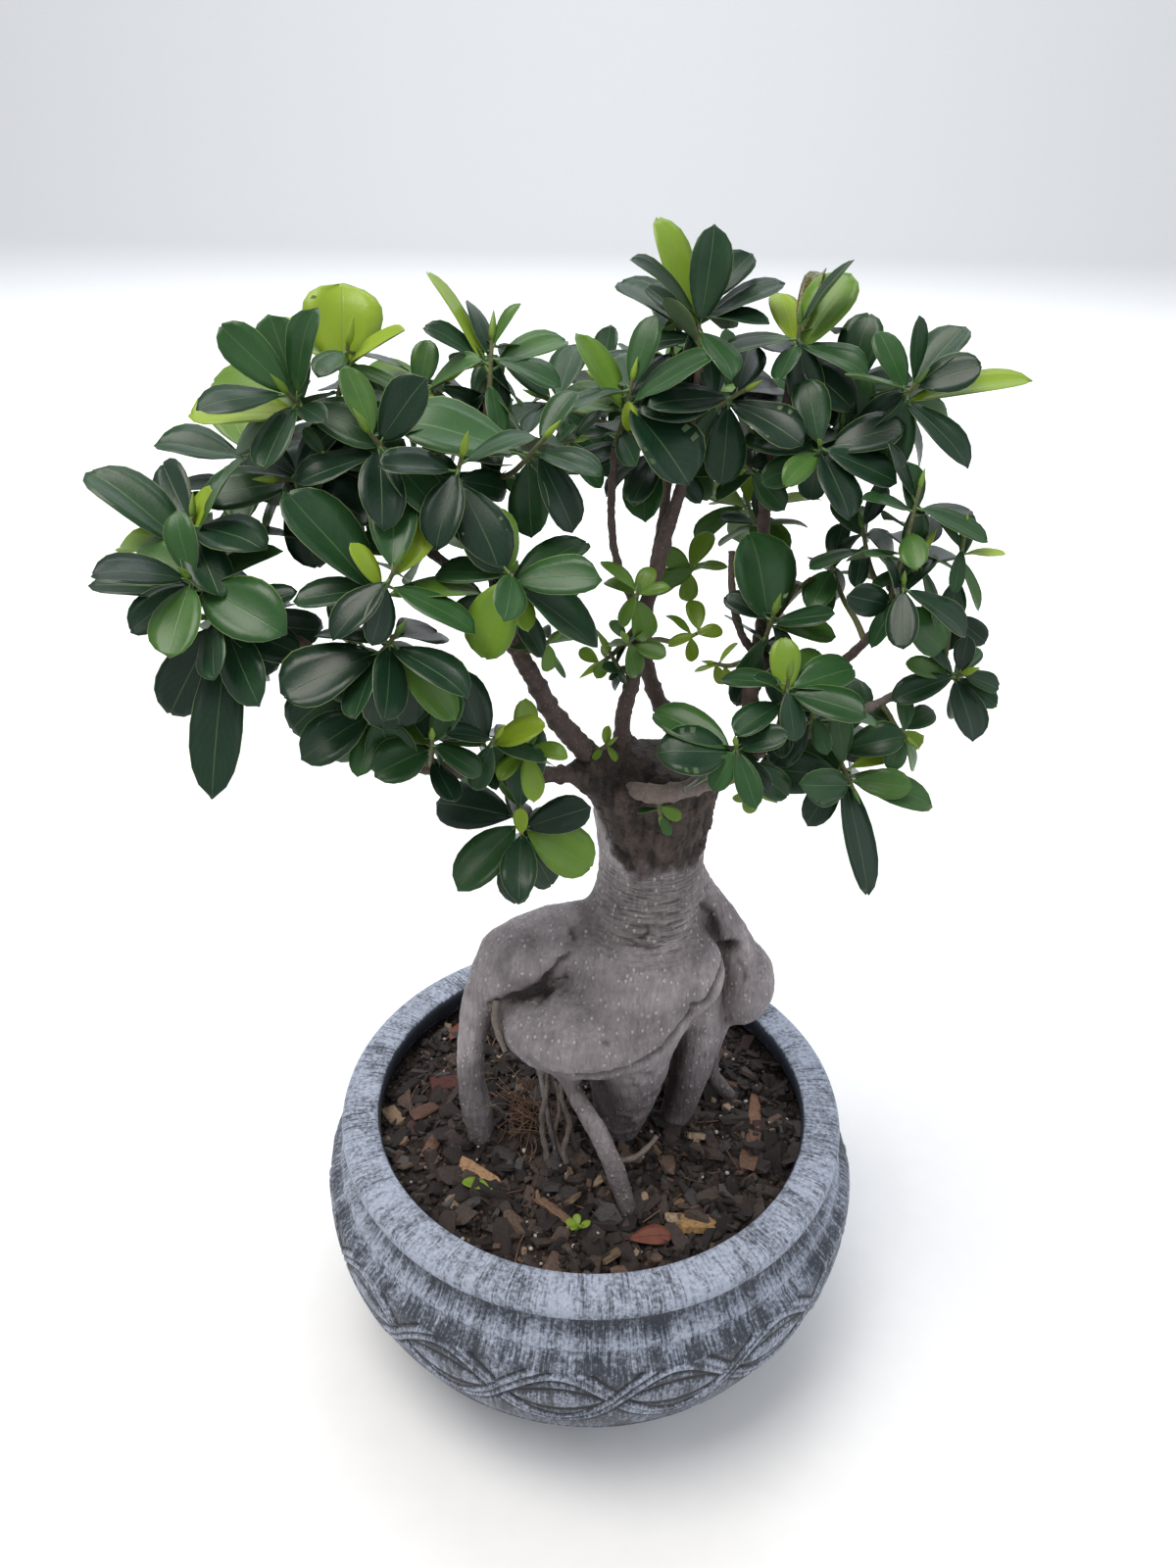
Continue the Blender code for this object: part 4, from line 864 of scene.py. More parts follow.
def evenPath(points, step):
    # the smooth curve through the points, cut into even short steps
    fine = smoothPath(points, 12)
    run = np.concatenate([[0], np.cumsum(np.linalg.norm(np.diff(fine[:, :3], axis=0), axis=1))])
    marks = np.linspace(0, run[-1], max(4, int(run[-1] / step)))
    return np.stack([np.interp(marks, run, fine[:, i]) for i in range(4)], 1)


def makeTwigMaterial(name, low, high, spots, coarse):
    # thin woody bark: brown-grey, cracked lengthways, with raised pale lenticels
    material, tree, shader = newMaterial(name)
    coord = addNode(tree, "TexCoord").outputs["Object"]
    blotch = addNode(tree, "TexNoise", None, {"Vector": coord,
            "Scale": 260.0, "Detail": 5.0, "Roughness": 0.65})    # 4 mm patches
    crack = addNode(tree, "TexNoise", None, {"Vector": coord, "Scale": coarse, "Detail": 5.0,
        "Roughness": 0.7, "Distortion": 0.8})
    cork = addNode(tree, "TexVoronoi", None, {"Vector": coord,
            "Scale": 430.0, "Randomness": 1.0})                     # dots 2 mm apart
    dot = addNode(tree, "MapRange", {"interpolation_type": "SMOOTHSTEP"},
        {"Value": cork, "From Min": 0.10, "From Max": 0.26, "To Min": 0.45, "To Max": 0.0})
    base = addNode(tree, "Mix", {"data_type": "RGBA"}, {0: blotch, 6: fromHex(low), 7: fromHex(high)})
    grained = addNode(tree, "Mix", {"data_type": "RGBA", "blend_type": "OVERLAY"},
        {0: 0.6, 6: base.outputs[2], 7: crack})
    dotted = addNode(tree, "Mix", {"data_type": "RGBA"}, {0: dot, 6: grained.outputs[2],
        7: fromHex(spots)})
    tree.links.new(dotted.outputs[2], shader.inputs["Base Color"])
    rough = addNode(tree, "MapRange", None, {"Value": crack, "To Min": 0.6, "To Max": 0.9})
    tree.links.new(rough.outputs[0], shader.inputs["Roughness"])
    lift = addNode(tree, "Math", {"operation": "ADD"}, {0: crack, 1: dot})
    bump = addNode(tree, "Bump", None, {"Height": lift, "Strength": 0.6, "Distance": 0.0006})
    tree.links.new(bump.outputs["Normal"], shader.inputs["Normal"])
    return material


def makeLimbs():
    dark = makeTwigMaterial("ficus twig bark", "332825", "62514b", "8d7d72", 700.0)
    # a paler copy of the twig bark, used for the right low limb
    light = makeTwigMaterial("paler ficus twig bark", "544844", "8e807a", "aba095", 700.0)
    for name, (parent, points) in limbLines.items():
        rng = random.Random("limb " + name)
        line = [tuple(p) for p in points]
        if parent == "trunk":
            first, second = Vector(line[0][:3]), Vector(line[1][:3])
            back = first - (second - first).normalized() * limbSet["tuck"]
            line = [(*back, line[0][3] * 0.85)] + line
        else:
            spot, radius, _ = nearestOnLimb(limbLines[parent][1], Vector(line[0][:3]))
            line[0] = (*spot, min(line[0][3] * 1.15, radius * 0.9))
        path = evenPath(line, limbSet["ringStep"])
        run = np.arange(len(path)) * limbSet["ringStep"]
        phase = rng.uniform(0, 9)
        swell = 1.0 + 0.16 * np.exp(-(((run + phase) % limbSet["nodeStep"] - 3) / 1.1) ** 2)
        path[:, 3] *= swell * (1 + 0.05 * np.sin(run * 0.7 + phase))
        limb = tubeObject("bark_" + name, path, limbSet["sides"])
        co = coordsOf(limb)
        normal = normalsOf(limb)
        rough = noiseAt(co / mm, 0.35, phase, 3) * 0.28 + noiseAt(co / mm, 0.9, phase, 2) * 0.14
        setCoords(limb, co + normal * rough[:, None] * mm)
        limb.data.shade_smooth()
        limb.data.materials.clear()
        limb.data.materials.append(light if name == "right_low_limb" else dark)
        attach(limb, "root")
        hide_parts(name)


makeLimbs()
print("limbs ready")


# leaf sprays

leafSet = {"pitch": math.radians(29.3), "lengthGain": 1.16, "widthGain": 1.05, "step": 1.7,
    "stemRadius": 1.2, "extra": 7, "thickness": 0.34, "leans": (12, -18, 26, -8, 4, -26, 18, -2)}

# sprays: limb, rosette centre, then leaves as (clock angle, length, width share, tone);
# clock angles are seen from the front and slightly above: 0 is right and 90 is up;
# tone 0 is old dark green, 0.5 light green, 1 new yellow-green, 2 scorched brown edge
sprayLeaves = {
    "far_left": ("left_long_limb", (-163, -45, 472), ((135, 42, .45, .12), (172, 32, .42, .62),
        (55, 36, .42, .3), (15, 34, .50, .1), (75, 18, .50, .9), (150, 52, .24, .9),
        (-60, 30, .50, 0))),
    "left_shoulder": ("left_long_limb", (-158, -62, 458), ((178, 36, .38, .1), (192, 26, .50, .1),
        (-25, 36, .58, .2), (28, 30, .50, .15), (218, 26, .50, 0))),
    "left_hanging": ("left_long_limb", (-150, -67, 446), ((-92, 60, .27, .05), (-103, 34, .60, 0),
        (-62, 34, .45, 0), (-122, 38, .48, .05), (20, 28, .42, .1), (-20, 30, .50, .1))),
    "young_crown": ("left_fork_limb", (-104, -12, 533), ((88, 31, .82, .85), (130, 31, .45, .9),
        (28, 26, .45, .85), (-20, 24, .42, .3), (165, 27, .32, .8), (-65, 26, .50, .3))),
    "left_crown": ("left_fork_limb", (-120, -30, 520), ((182, 38, .45, .8), (155, 43, .42, .6),
        (108, 30, .55, .2), (205, 30, .50, .3), (-20, 32, .50, .15), (82, 17, .55, .75),
        (135, 30, .45, .2))),
    "left_back": ("left_long_limb", (-150, 12, 492), ((170, 34, .50, .1), (120, 34, .50, .5),
        (62, 30, .50, .1), (215, 30, .50, 0), (10, 32, .50, 0))),
    "left_inner": ("left_fork_limb", (-126, -28, 490), ((190, 36, .50, .05), (150, 30, .50, 0),
        (-30, 34, .55, 0), (-80, 30, .50, 0), (60, 28, .45, .1), (230, 32, .50, 0))),
    "left_fork": ("left_fork_limb", (-93, -40, 509), ((200, 30, .50, .1), (-15, 30, .45, .2),
        (-80, 30, .50, 0), (-45, 32, .45, .1), (110, 26, .42, .3))),
    "fork_side": ("left_fork_limb", (-72, 2, 521), ((80, 19, .50, .4), (180, 24, .45, .3),
        (30, 23, .45, .3), (-85, 15, .50, .95), (148, 30, .42, .35), (-20, 26, .50, .1))),
    "spike": ("left_upper_limb", (-49, 12, 532), ((116, 40, .26, .7), (38, 34, .38, .3),
        (152, 26, .35, .1), (200, 23, .32, .8), (-15, 26, .42, .1), (-75, 22, .42, .1),
        (62, 18, .32, .4))),
    "left_centre": ("left_fork_limb", (-57, -45, 501), ((-60, 34, .50, 0), (-125, 34, .50, .1),
        (180, 26, .50, .05), (-95, 28, .50, 0), (30, 26, .50, .1))),
    "wide_leaf": ("left_upper_limb", (-28, -30, 506), ((182, 43, .56, .22), (158, 36, .38, .1),
        (-20, 26, .50, .1), (-62, 30, .42, 0), (60, 22, .50, .1))),
    "mid_left_low": ("left_long_limb", (-82, -72, 464), ((130, 44, .50, .05), (10, 34, .42, .4),
        (118, 18, .42, .9), (186, 30, .42, .1), (-22, 32, .42, .15), (62, 27, .42, .85),
        (228, 27, .50, 0), (92, 30, .50, .2))),
    "mid_left_deep": ("left_long_limb", (-82, -77, 442), ((206, 36, .60, .02), (-80, 29, .80, .05),
        (-25, 34, .45, .1), (168, 26, .50, 0), (-48, 33, .45, .5))),
    "low_left": ("left_long_limb", (-88, -79, 416), ((212, 29, .60, .05), (-72, 24, .70, .1),
        (-30, 27, .50, .1), (150, 22, .50, 0))),
    "stub_round": ("left_low_limb", (-68, -79, 400), ((196, 22, .72, .1), (150, 20, .60, .5),
        (62, 20, .50, .3), (-30, 20, .50, .1))),
    "stub_shoot": ("left_low_limb", (-45, -70, 396), ((110, 30, .50, .05), (152, 24, .50, .3),
        (25, 22, .50, .9), (-12, 20, .50, .1), (-110, 18, .50, .1))),
    "low_shoot": ("left_low_limb", (-34, -61, 349), ((85, 36, .44, .08), (168, 37, .50, .02),
        (226, 34, .50, .1), (-28, 32, .58, .5), (20, 27, .50, 0), (-60, 27, .50, 0),
        (95, 11, .50, .95))),
    "inner_left": ("left_upper_limb", (-37, -61, 463), ((100, 26, .50, .55), (36, 34, .42, .15),
        (5, 32, .45, .15), (-30, 37, .64, .03), (-66, 18, .50, .7), (170, 26, .45, .15),
        (130, 30, .50, .1), (-112, 29, .66, .6))),
    "centre_crown": ("centre_side_stem", (8, 18, 516), ((120, 33, .50, .55), (160, 27, .60, .25),
        (28, 36, .45, .15), (-18, 37, .68, .05), (-85, 12, .50, .95), (178, 32, .32, .2),
        (75, 27, .42, .3))),
    "centre_dark": ("centre_limb", (12, 34, 492), ((-85, 28, .55, .15), (-120, 32, .50, .1),
        (-10, 34, .50, 0), (-45, 36, .50, 0), (200, 30, .50, .1), (150, 24, .50, .1))),
    "top_spike": ("centre_limb", (37, 34, 545), ((108, 45, .30, .8), (132, 43, .38, .05),
        (82, 35, .42, .02), (148, 26, .42, .05), (28, 34, .42, .1), (172, 36, .24, .5),
        (-12, 26, .50, 0), (52, 30, .42, .1))),
    "top_left": ("back_limb", (28, 60, 530), ((190, 32, .42, .1), (-60, 30, .50, 0),
        (-120, 30, .50, 0), (100, 28, .42, .1))),
    "top_mid": ("centre_limb", (52, 22, 516), ((150, 30, .50, 0), (20, 32, .50, .05),
        (-30, 34, .50, .05), (-90, 30, .50, .1), (202, 34, .42, 0), (75, 30, .50, .1))),
    "top_right": ("right_rising_limb", (79, 30, 538), ((58, 33, .60, .6), (102, 28, .42, .9),
        (-22, 28, .42, .2), (76, 36, .24, 2), (186, 28, .50, .2), (-80, 26, .50, 0))),
    "right_crown": ("right_fork_limb", (104, 44, 517), ((78, 32, .50, .05), (150, 28, .50, .05),
        (-60, 32, .50, 0), (200, 30, .50, 0), (10, 26, .45, .05))),
    "far_right_top": ("right_fork_limb", (122, 10, 520), ((12, 46, .28, .75), (2, 27, .32, .3),
        (-48, 34, .36, .1), (100, 18, .42, .3), (112, 25, .42, .3), (-105, 30, .50, .1),
        (175, 26, .50, .3))),
    "right_top_low": ("right_fork_limb", (88, 2, 500), ((20, 30, .50, .05), (160, 30, .50, .05),
        (-70, 30, .50, 0), (102, 26, .50, .1), (-22, 30, .50, .1))),
    "right_side": ("right_mid_limb", (128, -10, 481), ((95, 20, .50, .1), (15, 26, .42, .05),
        (170, 22, .42, .1), (-20, 28, .42, .1), (122, 24, .42, .05), (-80, 20, .50, .1))),
    "far_right_tip": ("right_low_limb", (150, -12, 463), ((80, 18, .32, .2), (-60, 22, .32, .4),
        (0, 15, .32, .9), (120, 15, .32, .3), (-100, 17, .32, .1))),
    "right_mid": ("right_mid_limb", (121, -28, 447), ((42, 35, .55, .6), (110, 26, .42, .1),
        (8, 30, .42, .1), (186, 28, .50, 0), (-50, 24, .45, .8), (-110, 30, .50, .05),
        (150, 30, .50, 0))),
    "broad_leaf": ("right_rising_limb", (73, -12, 429), ((100, 36, .80, .12), (52, 30, .42, 2),
        (8, 24, .50, .1), (150, 20, .50, 0))),
    "curled": ("right_low_limb", (78, -38, 409), ((92, 22, .50, .6), (55, 24, .45, .3),
        (-12, 30, .50, .15), (22, 28, .50, .2), (-80, 20, .50, .1), (172, 26, .45, .1))),
    "round_low": ("right_low_limb", (57, -51, 386), ((178, 29, .74, .04), (152, 36, .45, .3),
        (20, 20, .50, .1), (-118, 18, .50, .3))),
    "far_right_low": ("right_low_limb", (155, -18, 407), ((-30, 20, .42, .1), (45, 20, .36, .2),
        (-75, 26, .60, .02), (120, 22, .36, .2), (200, 26, .42, .1), (2, 22, .42, .1))),
    "right_drop": ("right_low_limb", (110, -34, 365), ((-78, 52, .28, .02), (-118, 27, .45, .02),
        (102, 24, .42, .2), (26, 38, .26, .9), (-15, 36, .42, .3), (175, 34, .50, 0),
        (-4, 23, .50, .3))),
    "behind_right": ("right_rising_limb", (68, 58, 460), ((20, 28, .50, .8), (150, 28, .50, .8),
        (-60, 28, .50, .5), (82, 26, .50, .8), (-150, 26, .50, .4))),
    "small_shoot": ("centre_limb", (5, -5, 407), ((150, 13, .60, .7), (205, 11, .60, .4),
        (60, 11, .60, .8), (-70, 9, .60, .5))),
    "back_left": ("back_limb", (-28, 92, 500), ((20, 34, .50, .1), (80, 34, .50, .2),
        (140, 32, .50, .1), (200, 30, .50, 0), (-40, 30, .50, 0))),
    "back_right": ("right_rising_limb", (86, 88, 488), ((20, 34, .50, .2), (80, 34, .50, .1),
        (140, 32, .50, .5), (200, 30, .50, 0), (-40, 30, .50, 0))),
    "back_mid": ("back_limb", (32, 112, 500), ((15, 34, .50, .1), (75, 34, .50, .4),
        (135, 32, .50, .1), (195, 30, .50, 0), (-45, 30, .50, 0)))}

# smaller shoots among the sprays: limb, rosette centre, leaf count, leaf length, tone
sideShoots = {
    "shoot_centre_a": ("centre_side_stem", (14, -14, 442), 6, 19, .45),
    "shoot_centre_b": ("centre_limb", (10, -16, 420), 5, 16, .35),
    "shoot_centre_c": ("back_limb", (44, 8, 415), 5, 15, .65),
    "shoot_centre_d": ("back_limb", (42, 22, 441), 6, 19, .55),
    "shoot_centre_e": ("centre_side_stem", (-2, -6, 404), 4, 13, .6),
    "shoot_left_f": ("left_upper_limb", (-22, -44, 431), 5, 17, .35),
    "shoot_right_g": ("right_mid_limb", (136, -8, 462), 7, 24, .08),
    "shoot_right_h": ("right_mid_limb", (111, 6, 466), 7, 26, .05),
    "shoot_right_i": ("right_mid_limb", (101, 14, 448), 6, 22, .1),
    "shoot_right_j": ("right_low_limb", (73, -32, 353), 5, 13, .55),
    "shoot_right_k": ("right_low_limb", (136, -28, 381), 6, 22, .2),
    "shoot_right_l": ("right_low_limb", (92, -34, 396), 6, 24, .12),
    "shoot_left_m": ("left_low_limb", (-30, -64, 392), 6, 19, .5),
    "shoot_left_n": ("left_upper_limb", (-14, 8, 500), 6, 24, .15),
    "shoot_left_o": ("left_fork_limb", (-110, -34, 501), 6, 25, .1),
    "shoot_right_p": ("right_fork_limb", (100, 22, 506), 7, 27, .05),
    "shoot_mid_q": ("right_rising_limb", (60, 20, 488), 6, 26, .1),
    "shoot_mid_r": ("right_rising_limb", (52, 12, 398), 4, 12, .85),
    "shoot_left_s": ("left_upper_limb", (3, -26, 374), 3, 9, .6),
    "shoot_low_t": ("right_low_limb", (28, -32, 340), 4, 11, .4),
    "shoot_back_u": ("back_limb", (-4, 96, 508), 7, 28, .15),
    "shoot_back_v": ("back_limb", (62, 98, 505), 7, 28, .2),
    "shoot_back_w": ("left_upper_limb", (-62, 42, 508), 7, 28, .1),
    "shoot_back_x": ("right_fork_limb", (108, 60, 500), 7, 28, .1)}

# blade outline: share of the length from the stalk's foot, and half width
bladeRows = ((0.08, 0.05), (0.15, 0.29), (0.25, 0.56), (0.37, 0.79), (0.50, 0.94), (0.63, 1.0),
    (0.75, 0.97), (0.86, 0.82), (0.945, 0.54), (1.0, 0.10))
bladeAcross = (-1.0, -0.55, 0.0, 0.55, 1.0)


def clockDirection(angle, lean):
    turn = math.radians(angle)
    pitch = leafSet["pitch"]
    up = Vector((0.0, math.sin(pitch), math.cos(pitch)))
    toward = Vector((0.0, -math.cos(pitch), math.sin(pitch)))
    flat = Vector((math.cos(turn), 0.0, 0.0)) + up * math.sin(turn)
    tilt = math.radians(lean)
    return (flat * math.cos(tilt) + toward * math.sin(tilt)).normalized()


def backFromTip(path, distance):
    points = [Vector(point[:3]) for point in reversed(path)]
    for first, second in zip(points, points[1:]):
        step = second - first
        if distance <= step.length or second is points[-1]:
            spot = first + step.normalized() * min(distance, step.length - 0.8)
            return spot, -step.normalized()
        distance -= step.length


def stemRoutes(limb, centre, count):
    # every route that the cast stem may have taken, in the order they were tried
    centre = Vector(centre)
    points = limbLines[limb][1]
    last = Vector(points[-1][:3])
    for drop, back in ((8, 0), (8, 6), (16, 0), (8, 12), (0, 0), (24, 0), (-8, 0)):
        spot, radius, _ = nearestOnLimb(points, centre - Vector((0.0, 0.0, drop)))
        if (spot - last).length < 3.0:
            spot, radius = (last, 0.2) if back == 0 else (backFromTip(points, back)[0], radius)
        heading = (centre - spot).normalized()
        start = spot + heading * (radius + leafSet["stemRadius"] + 1.5)
        bend = (start + centre) * 0.5 + Vector((0.0, 0.0, -0.08 * (centre - start).length))
        tip = centre + (centre - bend).normalized() * leafSet["step"] * (count + 2) * 0.5
        for shift in (0, 4, -4, 8, -8, 12, -12, 16, -16):
            for depth in (0, 5, -5, 10):
                yield spot, (start, bend + Vector((shift, depth, 0.0)), tip)


def surfaceGap(tree, point):
    return tree.find_nearest(Vector(point) * mm)[3] / mm


def matchRoute(tree, limb, centre, count):
    # the route whose points all lie one stem radius inside the CAD stem
    best = None
    for spot, route in stemRoutes(limb, centre, count):
        marks = (route[0], route[1], (route[0] + route[1]) * 0.5, route[1] * 0.7 + route[2] * 0.3)
        gaps = [abs(surfaceGap(tree, mark) - leafSet["stemRadius"]) for mark in marks]
        gaps[0] = surfaceGap(tree, marks[0])
        if best is None or sum(gaps) < best[0]:
            best = (sum(gaps), spot, route)
    return best[1], best[2]


def leafWay(axis, angle, lean):
    way = clockDirection(angle, lean)
    facing = (Vector((0.0, -0.45, 0.89)) + axis * 0.35).normalized()
    if abs(way.dot(facing)) > 0.93:
        facing = Vector((0.0, -1.0, 0.25)).normalized()
    side = way.cross(facing).normalized()
    return way, side, side.cross(way).normalized()


def matchLeaf(tree, base, axis, angle, lean, length):
    # the first tried heading whose tip and midrib lie on the CAD leaf
    for turn in (0, 10, -10, 20, -20, 30, -30, 40, -40):
        for tilt in (0, 10, -10, 20, -20):
            axes = leafWay(axis, angle + turn, lean + tilt)
            way, _, normal = axes
            tip = base + way * length - normal * 0.1 * length
            half = base + way * length * 0.6 - normal * 0.036 * length
            if surfaceGap(tree, tip) < 0.35 and surfaceGap(tree, half) < 0.75:
                return axes
    return None


def leafVerts(base, axes, length, share, form):
    # a closed blade as a top and a bottom sheet; form: fold, droop, curl of the tip, twist, wave and
    # its phase
    way, side, normal = (np.array(a) for a in axes)
    base = np.array(base)
    half = length * share * 0.5
    fold, droop, curl, twist, wave, phase = form
    along = np.array([row[0] for row in bladeRows])[:, None]
    width = np.array([row[1] for row in bladeRows])[:, None] * half
    across = np.array(bladeAcross)[None, :]
    reach = along + 0.012 * np.sin(phase + across * 2)
    rise = (np.abs(across) ** 1.4 * width * fold - droop * length * reach ** 2 - curl * length
        * np.clip(reach - 0.72, 0, 1) ** 2 * 6 + wave * half * np.sin(along * 9 + phase + across)
        * np.abs(across))
    spin = twist * along
    off = across * width
    sideways = off * np.cos(spin)
    lift = rise + off * np.sin(spin)
    top = (base + (reach * length)[..., None] * way + sideways[..., None] * side + lift[..., None]
        * normal)
    thick = leafSet["thickness"] * (1 - 0.6 * np.abs(across)) * np.ones_like(along)
    thick[:, 2] += 0.55 * (1 - along[:, 0]) * 0.9               # the midrib stands out below
    bottom = top - thick[..., None] * normal
    return top.reshape(-1, 3), bottom.reshape(-1, 3)


def bladeFaces():
    rows, columns = len(bladeRows), len(bladeAcross)
    faces = []
    for i in range(rows - 1):
        for j in range(columns - 1):
            a = i * columns + j
            faces.append((a, a + 1, a + columns + 1, a + columns))
    shift = rows * columns
    under = [tuple(v + shift for v in reversed(face)) for face in faces]
    rim = [j for j in range(columns)] + [i * columns + columns - 1 for i in range(1, rows)]
    rim += [(rows - 1) * columns + j for j in range(columns - 2, -1, -1)]
    rim += [i * columns for i in range(rows - 2, 0, -1)]
    edge = [(b, a, a + shift, b + shift) for a, b in zip(rim, rim[1:] + rim[:1])]
    return faces + under + edge


def stalkVerts(start, end, sag, radius):
    # a five-sided leaf stalk with closed ends
    start, end = np.array(start), np.array(end)
    line = end - start
    ahead = line / max(np.linalg.norm(line), 1e-6)
    side = np.cross(ahead, (0.13, 0.21, 0.97))
    side /= np.linalg.norm(side)
    up = np.cross(side, ahead)
    verts = []
    for i in range(4):
        t = i / 3
        spot = start + line * t - np.array(sag) * math.sin(math.pi * t)
        r = radius * (1.25 - 0.45 * t)
        for k in range(5):
            a = math.tau * k / 5
            verts.append(spot + (side * math.cos(a) + up * math.sin(a)) * r)
    faces = []
    for i in range(3):
        for k in range(5):
            a, b = i * 5 + k, i * 5 + (k + 1) % 5
            faces.append((b, a, a + 5, b + 5))
    faces.append(tuple(range(5)))
    faces.append(tuple(19 - k for k in range(5)))
    return verts, faces


def makeLeafMaterial():
    # waxy ficus leaf: deep green cuticle with a satin gloss, pale midrib, faint side veins
    # and a thin light margin; new leaves yellow-green; matt paler underside
    material, tree, shader = newMaterial("waxy ficus leaf")
    uv = addNode(tree, "UVMap", {"uv_map": "pieceUv"})
    tone = addNode(tree, "Attribute", {"attribute_name": "tone"})
    under = addNode(tree, "Attribute", {"attribute_name": "under"})
    scorch = addNode(tree, "Attribute", {"attribute_name": "scorch"})
    coord = addNode(tree, "TexCoord").outputs["Object"]
    place = addNode(tree, "SeparateXYZ", None, {"Vector": uv})
    offset = addNode(tree, "Math", {"operation": "SUBTRACT"}, {0: place.outputs["Y"], 1: 0.5})
    aside = addNode(tree, "Math", {"operation": "ABSOLUTE"}, {0: offset})
    rib = addNode(tree, "MapRange", {"interpolation_type": "SMOOTHSTEP"},
        {"Value": aside, "From Min": 0.004, "From Max": 0.020, "To Min": 1.0, "To Max": 0.0})
    edge = addNode(tree, "MapRange", {"interpolation_type": "SMOOTHSTEP"},
        {"Value": aside, "From Min": 0.478, "From Max": 0.497})
    slant = addNode(tree, "Math", {"operation": "MULTIPLY_ADD"},
        {0: aside, 1: -0.75, 2: place.outputs["X"]})
    comb = addNode(tree, "Math", {"operation": "MULTIPLY"}, {0: slant, 1: 62.0})
    wave = addNode(tree, "Math", {"operation": "SINE"}, {0: comb})
    veins = addNode(tree, "MapRange", {"interpolation_type": "SMOOTHSTEP"},
        {"Value": wave, "From Min": 0.86, "From Max": 1.0, "To Max": 0.10})
    patches = addNode(tree, "TexNoise", None, {"Vector": coord,
            "Scale": 95.0, "Detail": 4.0, "Roughness": 0.6})     # 10 mm clouds
    fine = addNode(tree, "TexNoise", None, {"Vector": coord,
            "Scale": 900.0, "Detail": 3.0})                         # 1 mm pores
    shade = addNode(tree, "Math", {"operation": "MULTIPLY_ADD"},
        {0: patches, 1: 0.16, 2: tone.outputs["Fac"]})
    ramp = addNode(tree, "ValToRGB", None, {"Fac": shade})
    stops = ((0.02, "0f2319"), (0.18, "173320"), (0.42, "305729"), (0.68, "5e8129"), (1.0, "869f26"))
    ramp.color_ramp.elements[0].position = stops[0][0]
    ramp.color_ramp.elements[0].color = fromHex(stops[0][1])
    ramp.color_ramp.elements[1].position = stops[-1][0]
    ramp.color_ramp.elements[1].color = fromHex(stops[-1][1])
    for position, code in stops[1:-1]:
        ramp.color_ramp.elements.new(position).color = fromHex(code)
    line = addNode(tree, "Math", {"operation": "MAXIMUM"}, {0: rib, 1: veins})
    lineAmount = addNode(tree, "Math", {"operation": "MULTIPLY"}, {0: line, 1: 0.30})
    veined = addNode(tree, "Mix", {"data_type": "RGBA"},
        {0: lineAmount, 6: ramp, 7: fromHex("6f8d58")})
    edgeAmount = addNode(tree, "Math", {"operation": "MULTIPLY"}, {0: edge, 1: 0.65})
    rimmed = addNode(tree, "Mix", {"data_type": "RGBA"}, {0: edgeAmount, 6: veined.outputs[2],
        7: fromHex("90a468")})
    paler = addNode(tree, "Mix", {"data_type": "RGBA"}, {0: 0.42, 6: rimmed.outputs[2],
        7: fromHex("7d9468")})
    sided = addNode(tree, "Mix", {"data_type": "RGBA"}, {0: under.outputs["Fac"],
        6: rimmed.outputs[2], 7: paler.outputs[2]})
    burn = addNode(tree, "Math", {"operation": "MULTIPLY"}, {0: scorch.outputs["Fac"], 1: fine})
    burnAmount = addNode(tree, "MapRange", None, {"Value": burn, "From Min": 0.30, "From Max": 0.5,
        "To Max": 0.9})
    burnt = addNode(tree, "Mix", {"data_type": "RGBA"}, {0: burnAmount, 6: sided.outputs[2],
        7: fromHex("4a3220")})
    tree.links.new(burnt.outputs[2], shader.inputs["Base Color"])
    shader.inputs["Specular IOR Level"].default_value = 0.34    # a thin, worn wax layer
    gloss = addNode(tree, "MapRange", None, {"Value": patches, "To Min": 0.26, "To Max": 0.42})
    rough = addNode(tree, "Math", {"operation": "MULTIPLY_ADD"}, {0: under.outputs["Fac"], 1: 0.28,
        2: gloss})
    tree.links.new(rough.outputs[0], shader.inputs["Roughness"])
    veinDrop = addNode(tree, "Math", {"operation": "MULTIPLY_ADD"}, {0: line, 1: -0.35, 2: 0.0})
    height = addNode(tree, "Math", {"operation": "MULTIPLY_ADD"}, {0: fine, 1: 0.25, 2: veinDrop})
    bump = addNode(tree, "Bump", None, {"Height": height, "Strength": 0.4, "Distance": 0.0005})
    tree.links.new(bump.outputs["Normal"], shader.inputs["Normal"])
    return material


bladeFaceList = bladeFaces()
leafMaterial = makeLeafMaterial()
takenSpots = []


def leafSpots(base, way, length, share):
    # a few balls that stand for a leaf when a new one looks for room
    base, way = np.array(base), np.array(way)
    return [(*(base + way * length * t), length * share * 0.30) for t in (0.35, 0.6, 0.85)]


def hasRoom(spots, taken):
    if not len(taken):
        return True
    for x, y, z, r in spots:
        gap = np.linalg.norm(taken[:, :3] - (x, y, z), axis=1) - taken[:, 3] - r
        if gap.min() < 0:
            return False
    return True


def newBatch():
    return {"verts": [], "faces": [], "uv": [], "tone": [], "under": [], "scorch": []}


def addToBatch(batch, verts, faces, uv, tone, under, scorch):
    start = len(batch["verts"])
    batch["verts"].extend(verts)
    batch["faces"].extend(tuple(v + start for v in face) for face in faces)
    batch["uv"].extend(uv)
    batch["tone"].extend([tone] * len(verts))
    batch["under"].extend(under)
    batch["scorch"].extend([scorch] * len(verts))


def batchPiece(name, batch, material):
    floats = {title: batch[title] for title in ("tone", "under", "scorch")}
    return meshPiece(name, np.array(batch["verts"]) * mm, batch["faces"], batch["uv"], floats, None,
        material)


